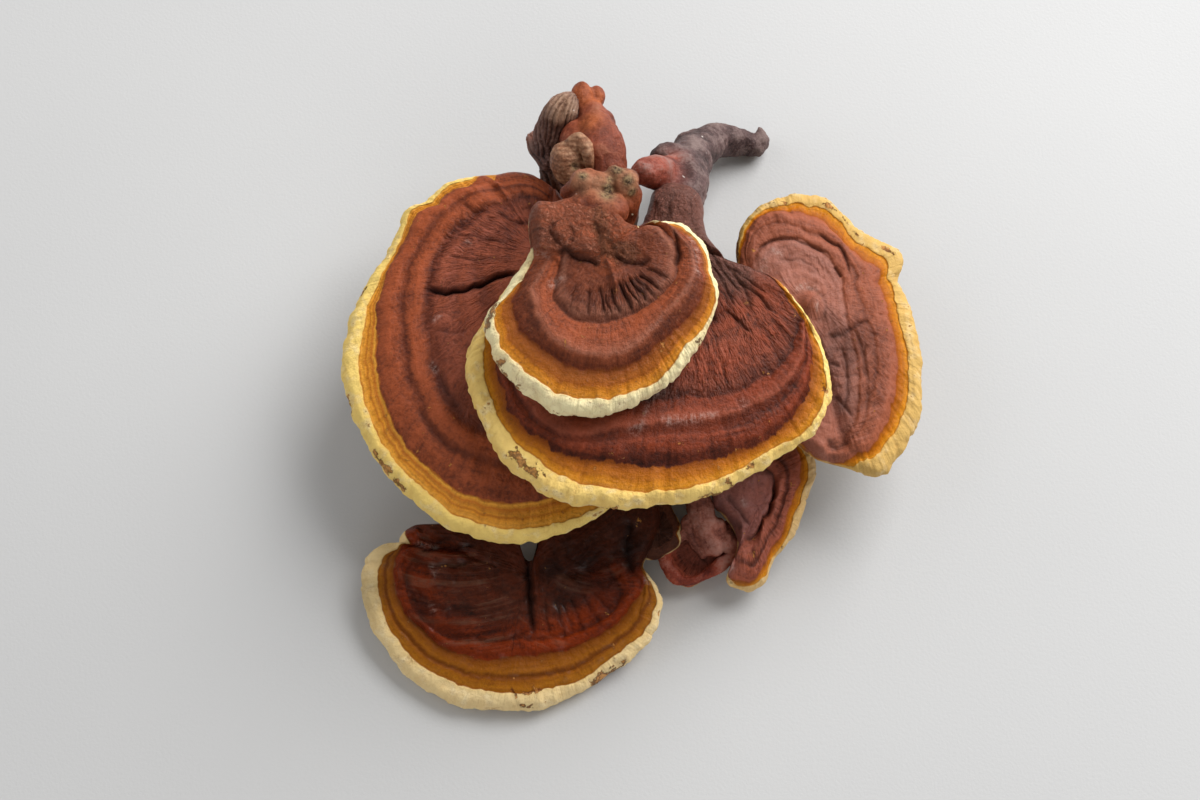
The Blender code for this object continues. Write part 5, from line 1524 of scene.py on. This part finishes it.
# %% The whole skin
def fan_skin(name, red, dark, amber, cream=(232, 206, 150), ragged=0.5,
             dust_and_sheen_colour=(140, 108, 94), bark_colour=(108, 84, 78), bark_share=1.0,
             bark_grain=0.5, gloss=0.16, gleam=0.0, etched=0.6, soft=1.0, lobed=0.0):
    """A fan's skin, from colours as a screen's 0 to 255. The dust colour also paints sheen. ragged is how
    uneven the red skin's border is, gleam how much lacquer shines in patches, etched how much painted shade
    darkens the sharp furrows, soft how strong the fine noise is, and lobed how far the wrinkles turn into
    broad folds that follow the rings, with painted sheen on their crests."""
    colours = (red, dark, cream, dust_and_sheen_colour, bark_colour)
    red, dark, cream, dust_and_sheen_colour, bark_colour = (shade(*colour) for colour in colours)
    r = Recipe(name)
    n = fan_noises(r)
    # The wrinkles' valleys and the creases are darkened as painted shade; the crests of pleats and folds
    # are lightened as painted highlight, with painted sheen in the dust colour, and their troughs darkened
    # as painted shade.
    valleys = (1 - (n.radial - 0.5).reckon("ABSOLUTE") * 15).clipped() * ((n.patches - 0.38) * 5).clipped()
    furrows = valleys * n.wrinkled * etched
    pleated = (n.pleats - 0.5) * (3.2 * soft) + (n.radial - 0.5) * (1.2 * soft)
    pleated = n.wrinkled * pleated * (1 - 0.85 * lobed)
    folded = (n.wrinkled + 0.1) * ((n.lobes - 0.5) * (3.6 * lobed)) * (n.patches * 1.6 - 0.1).clipped()
    light = (n.streaks - 0.5) * 1.3 + (n.rings - 0.5) * 0.8 + (n.bands - 0.5) * 1.5
    light = light + (n.patches - 0.5) * 1.3
    light = (light + (n.grain - 0.5) * 2.2) * soft + pleated + folded + 1.0
    light = n.tone * light * (1 - furrows * 0.75) * (1 - n.creases * 0.9)
    # Painted sheen on the crests of pleats and folds.
    sheen = (pleated * 1.6).clipped() * 0.32 + (folded * 1.5 - 0.1).clipped() * 0.6

    uneven = (n.patches - 0.5) * 1.4 + (n.drift - 0.5) * 0.8
    uneven = (n.streaks * 0.5 + n.teeth - 0.75) * (3.4 * ragged) + uneven
    is_cream = (n.cream + (n.drift - 0.5) * 0.9 + (n.patches - 0.5) * 0.5 - n.from_rim).above(0, 0.35)
    is_amber = (n.cream + n.amber + uneven - n.from_rim).above(0, 0.55)
    scars = r.number("scar") * 1.1 + (n.grain - 0.5) * 2.2 + (n.drift - 0.5) * 3.0 - 0.75
    scars = (scars * 7).clipped() * 0.85
    colour = r.mix(is_amber, lacquer(r, n, light, sheen, red, dark, dust_and_sheen_colour), amber_band(r, n, amber))
    colour = r.mix(is_cream, colour, cream_margin(r, n, cream, soft))
    colour = marked(r, n, colour, scars, bark_colour, bark_share, bark_grain)
    # Painted shade at the named spots: a mix towards a darker copy of the dark colour.
    colour = r.mix(r.number("shadow"), colour, tuple(0.2 * part for part in dark))
    below = r.number("below")
    pores = r.node("ShaderNodeTexVoronoi", {}, {"Vector": n.place, "Scale": 1600.0})
    colour = r.mix(below, colour, r.mix((pores * 1.4).clipped(), PORE, FLESH))

    height = n.streaks * 0.45 + n.grain * 1.3 + n.rings * 0.3 + n.drift * 0.7 + n.bands * 0.5
    height = height + pleated * 0.8 - furrows * 1.5 + n.gritty * 1.6
    height = height * (1 - is_cream * 0.7) + folded * 1.6
    on_cream = (n.dents * 1.5 + n.ripples * 1.6 + n.grain * 0.6) * is_cream
    height = (height + on_cream) * soft - scars * 1.5
    rough = is_cream * 0.34 + (1 - is_cream) * (n.patches * 0.2) + below * 0.2 + n.dusty * 0.25 + 0.28
    r.set(Specular_IOR_Level=gloss, Coat_Roughness=0.24)
    if gleam:
        r.set(Coat_Weight=((1 - is_cream) * ((n.drift - 0.52) * 8).clipped() * gleam).clipped())
    return r.set(Base_Color=colour, Roughness=rough.clipped(), Normal=r.bump(height))


# %% Dress the fans
def dress(piece_name, material):
    """Gives a piece its one material."""
    piece = bpy.data.objects[piece_name]
    piece.data.materials.clear()
    piece.data.materials.append(material)


dress("upper_fan", fan_skin("upper_skin", (148, 71, 38), (58, 22, 14), TWO_TONE, (255, 241, 190), 0.25,
    dust_and_sheen_colour=(168, 116, 96), bark_colour=(156, 100, 66), bark_share=0.55, bark_grain=3.0))
dress("middle_fan", fan_skin("middle_skin", (130, 54, 27), (40, 13, 7), HONEY, (252, 216, 128), 1.2,
    dust_and_sheen_colour=(170, 98, 76), bark_colour=(150, 106, 94), bark_share=0.75))
dress("left_fan", fan_skin("left_skin", (152, 74, 41), (58, 22, 16), GOLDEN, (248, 214, 122), 0.3,
    dust_and_sheen_colour=(150, 90, 80), soft=0.9))
dress("right_fan", fan_skin("right_skin", (150, 84, 60), (60, 30, 26), HONEY, (206, 168, 98), 0.3,
    dust_and_sheen_colour=(170, 126, 116), gloss=0.1, etched=0.0, soft=0.6, lobed=0.6))
dress("front_fan", fan_skin("front_skin", (122, 42, 5), (18, 5, 2), SHADED, (240, 212, 156), 0.3,
    dust_and_sheen_colour=(112, 94, 76), gloss=0.1, gleam=0.25, etched=0.15, soft=0.8, lobed=1.0))
dress("tucked_lobe", fan_skin("lobe_skin", (92, 44, 22), (36, 12, 6), SHADED, gloss=0.1))
dress("narrow_fan", fan_skin("narrow_skin", (150, 78, 56), (60, 28, 22), HONEY, (220, 184, 128), 0.3,
    dust_and_sheen_colour=(146, 108, 108), etched=0.0, soft=0.7))
dress("small_fan", fan_skin("small_skin", (160, 78, 56), (70, 32, 26), SHADED, dust_and_sheen_colour=(142, 106, 98),
    bark_colour=(120, 86, 80)))
print("fans dressed")

# %% [markdown]
# ## Bark and knobs
#
# The bare stems are greyish purple-brown with dust in lengthwise streaks. The knobs are reddish, with a tan
# bloom on the parts that stand out, and a crusty olive pit between them. On all of them the grooves are
# painted darker and the lumps lighter, as painted shade and painted light.

# %% The bark's recipe
CRUST_DARK, CRUST_LIGHT, FLECK = shade(56, 38, 28), shade(156, 128, 92), shade(214, 205, 196)


def bark(name, base, deep, bloom, bloom_share=0.4, stripes=0.0, second=None, streaky=1.0):
    """Bark, from colours as a screen's 0 to 255. It goes from deep to base as the light goes up, with a
    bloom on what stands out; the relief in the light paints shade into the grooves and light onto the
    lumps. second is the deep and the base of its tinted places, stripes how close its wavy rings are, and
    streaky how strong the lengthwise streaks are."""
    base, deep, bloom = shade(*base), shade(*deep), shade(*bloom)
    r = Recipe(name)
    place = r.places()
    relief, granular = r.number("relief"), r.number("granular")
    streaks = r.noise(r.places("grain", (7, 7, 7)), 1.0, 4)
    patches, grain = r.noise(place, 140), r.noise(place, 900, 4, 0.7)
    # relief darkens the grooves and lightens the lumps: painted shade and painted light.
    light = (streaks - 0.5) * (1.4 * streaky) + relief * 0.7 + (grain - 0.5) * 1.5 + (patches - 0.5) * 0.8
    light = (light + 0.62).clipped()
    colour = r.mix(light, deep, base)
    if second:
        colour = r.mix(r.number("tint"), colour, r.mix(light, *(shade(*part) for part in second)))
    bloomed = (patches - 0.5) * 3 + (grain - 0.5) * 2.6 + relief * 0.8 + r.number("facing_up") * 0.4
    bloomed = (bloomed + (bloom_share - 0.2)).clipped() * 0.7
    colour = r.mix(bloomed, colour, bloom)
    if stripes:
        wavy = r.node("ShaderNodeTexWave", {"wave_type": "RINGS"},
                      {"Vector": place, "Scale": stripes, "Distortion": 5.0, "Detail": 2.0})
        colour = r.mix((wavy * 0.8).clipped() * 0.6, colour, deep)
    crust = r.mix(((grain - 0.4) * 5).clipped(), CRUST_DARK, CRUST_LIGHT)
    colour = r.mix((granular * 1.6 - 0.3 + (grain - 0.5) * 0.8).clipped(), colour, crust)
    flecks = ((r.noise(place, 500, 1) - 0.78) * 30).clipped()
    colour = r.mix(flecks, colour, FLECK)
    height = streaks * (0.7 * streaky) + grain * (1.0 + granular * 1.5) + patches * 0.8
    r.set(Specular_IOR_Level=0.2)
    rough = patches * 0.25 + bloomed * 0.2 + 0.36
    return r.set(Base_Color=colour, Roughness=rough.clipped(), Normal=r.bump(height))


# %% Dress the stipes and knobs
DARK_BARK, DUST = (52, 36, 34), (134, 116, 110)
NUB_RED = ((108, 46, 34), (168, 86, 66))
dress("bare_stem", bark("bare_bark", (100, 75, 73), DARK_BARK, DUST, 0.1, second=NUB_RED, streaky=0.6))
dress("small_stem", bark("small_bark", (172, 104, 84), (90, 48, 40), (166, 126, 114), -0.1, streaky=0.5))
dress("small_lumps", bark("lump_bark", (164, 98, 80), (84, 42, 36), (166, 124, 112), -0.05, streaky=0.5,
    second=((96, 36, 26), (166, 74, 50))))
dress("base_branches", bark("base_bark", (96, 66, 58), DARK_BARK, DUST, 0.1))
dress("dark_stem", bark("dark_bark", (128, 90, 80), (58, 40, 36), (150, 124, 114), 0.15, streaky=0.7,
    second=((84, 46, 36), (160, 100, 80))))
dress("ribbed_knob", bark("ribbed_bark", (118, 80, 68), (56, 34, 28), (150, 124, 108), 0.05, streaky=0.6,
    second=((96, 64, 48), (174, 136, 108))))
dress("upper_stem", bark("upper_bark", (118, 82, 70), DARK_BARK, DUST, 0.2))
dress("red_bulb", bark("bulb_bark", (146, 72, 48), (84, 38, 26), (152, 98, 74), -0.2, streaky=0.25,
    second=((124, 58, 30), (184, 100, 56))))
dress("striped_lobe", bark("striped_bark", (186, 128, 92), (96, 56, 38), (200, 164, 132), 0.3,
    stripes=210.0, streaky=0.4))
dress("top_knobs", bark("knob_bark", (142, 68, 38), (78, 34, 20), (158, 98, 68), -0.1, streaky=0.5,
    second=((96, 56, 38), (168, 118, 88))))
print("stipes dressed")

# %% [markdown]
# ## The cloth
#
# The cluster lies on a plain pale cloth. Cloth could be a finely folded sheet, but its folds aren't the
# subject here, so a flat square as wide as a room does, with faint clouds and a weave in its relief.

# %% The floor
FLOOR_REACH = 3.0
floor_mesh = bpy.data.meshes.new("cloth")
corners = [(-FLOOR_REACH, -FLOOR_REACH, 0), (FLOOR_REACH, -FLOOR_REACH, 0), (FLOOR_REACH, FLOOR_REACH, 0),
    (-FLOOR_REACH, FLOOR_REACH, 0)]
floor_mesh.from_pydata(corners, [], [(0, 1, 2, 3)])
floor = bpy.data.objects.new("cloth", floor_mesh)
bpy.context.scene.collection.objects.link(floor)
cloth = Recipe("cloth_weave")
cloth_place = cloth.places()
clouds = cloth.noise(cloth_place, 6.0, 2)
weave = cloth.noise(cloth_place, 900.0, 2)
cloth_colour = cloth.mix(clouds, (0.567, 0.567, 0.567), (0.622, 0.622, 0.618))
dress("cloth", cloth.set(Base_Color=cloth_colour, Roughness=0.95, Normal=cloth.bump(weave, 0.0002, 0.3)))
print("the cloth reaches", FLOOR_REACH, "m to each side")

# %% [markdown]
# ## The light
#
# In the photograph the shadows are soft and fall to the lower left, as beside a large window at the
# upper right. A sun would draw hard edges, so a lamp over a metre wide stands there. Two weak ones and
# a pale surround fill the shadows.

# %% The light
SURROUND, SURROUND_STRENGTH = (1.0, 0.99, 0.98, 1), 0.22


def soft_lamp(name, place, size, power):
    """A square lamp that faces the middle of the cluster, in metres and watts."""
    data = bpy.data.lights.new(name, "AREA")
    data.size, data.energy = size, power
    lamp = bpy.data.objects.new(name, data)
    lamp.location = place
    x, y, z = place
    lamp.rotation_euler = (math.atan2(math.hypot(x, y), z), 0, math.atan2(y, x) + QUARTER)
    bpy.context.scene.collection.objects.link(lamp)
    print(name, power, "W")


soft_lamp("window", (0.86, 0.92, 0.9), 1.3, 39.5)
soft_lamp("left_fill", (-1.6, 0.5, 0.9), 1.6, 9.0)
soft_lamp("front_fill", (0.2, -1.7, 0.8), 1.6, 8.0)
world = bpy.data.worlds.new("surround")
world.use_nodes = True
world.node_tree.nodes["Background"].inputs["Color"].default_value = SURROUND
world.node_tree.nodes["Background"].inputs["Strength"].default_value = SURROUND_STRENGTH
bpy.context.scene.world = world
bpy.context.scene.view_settings.view_transform = "Standard"
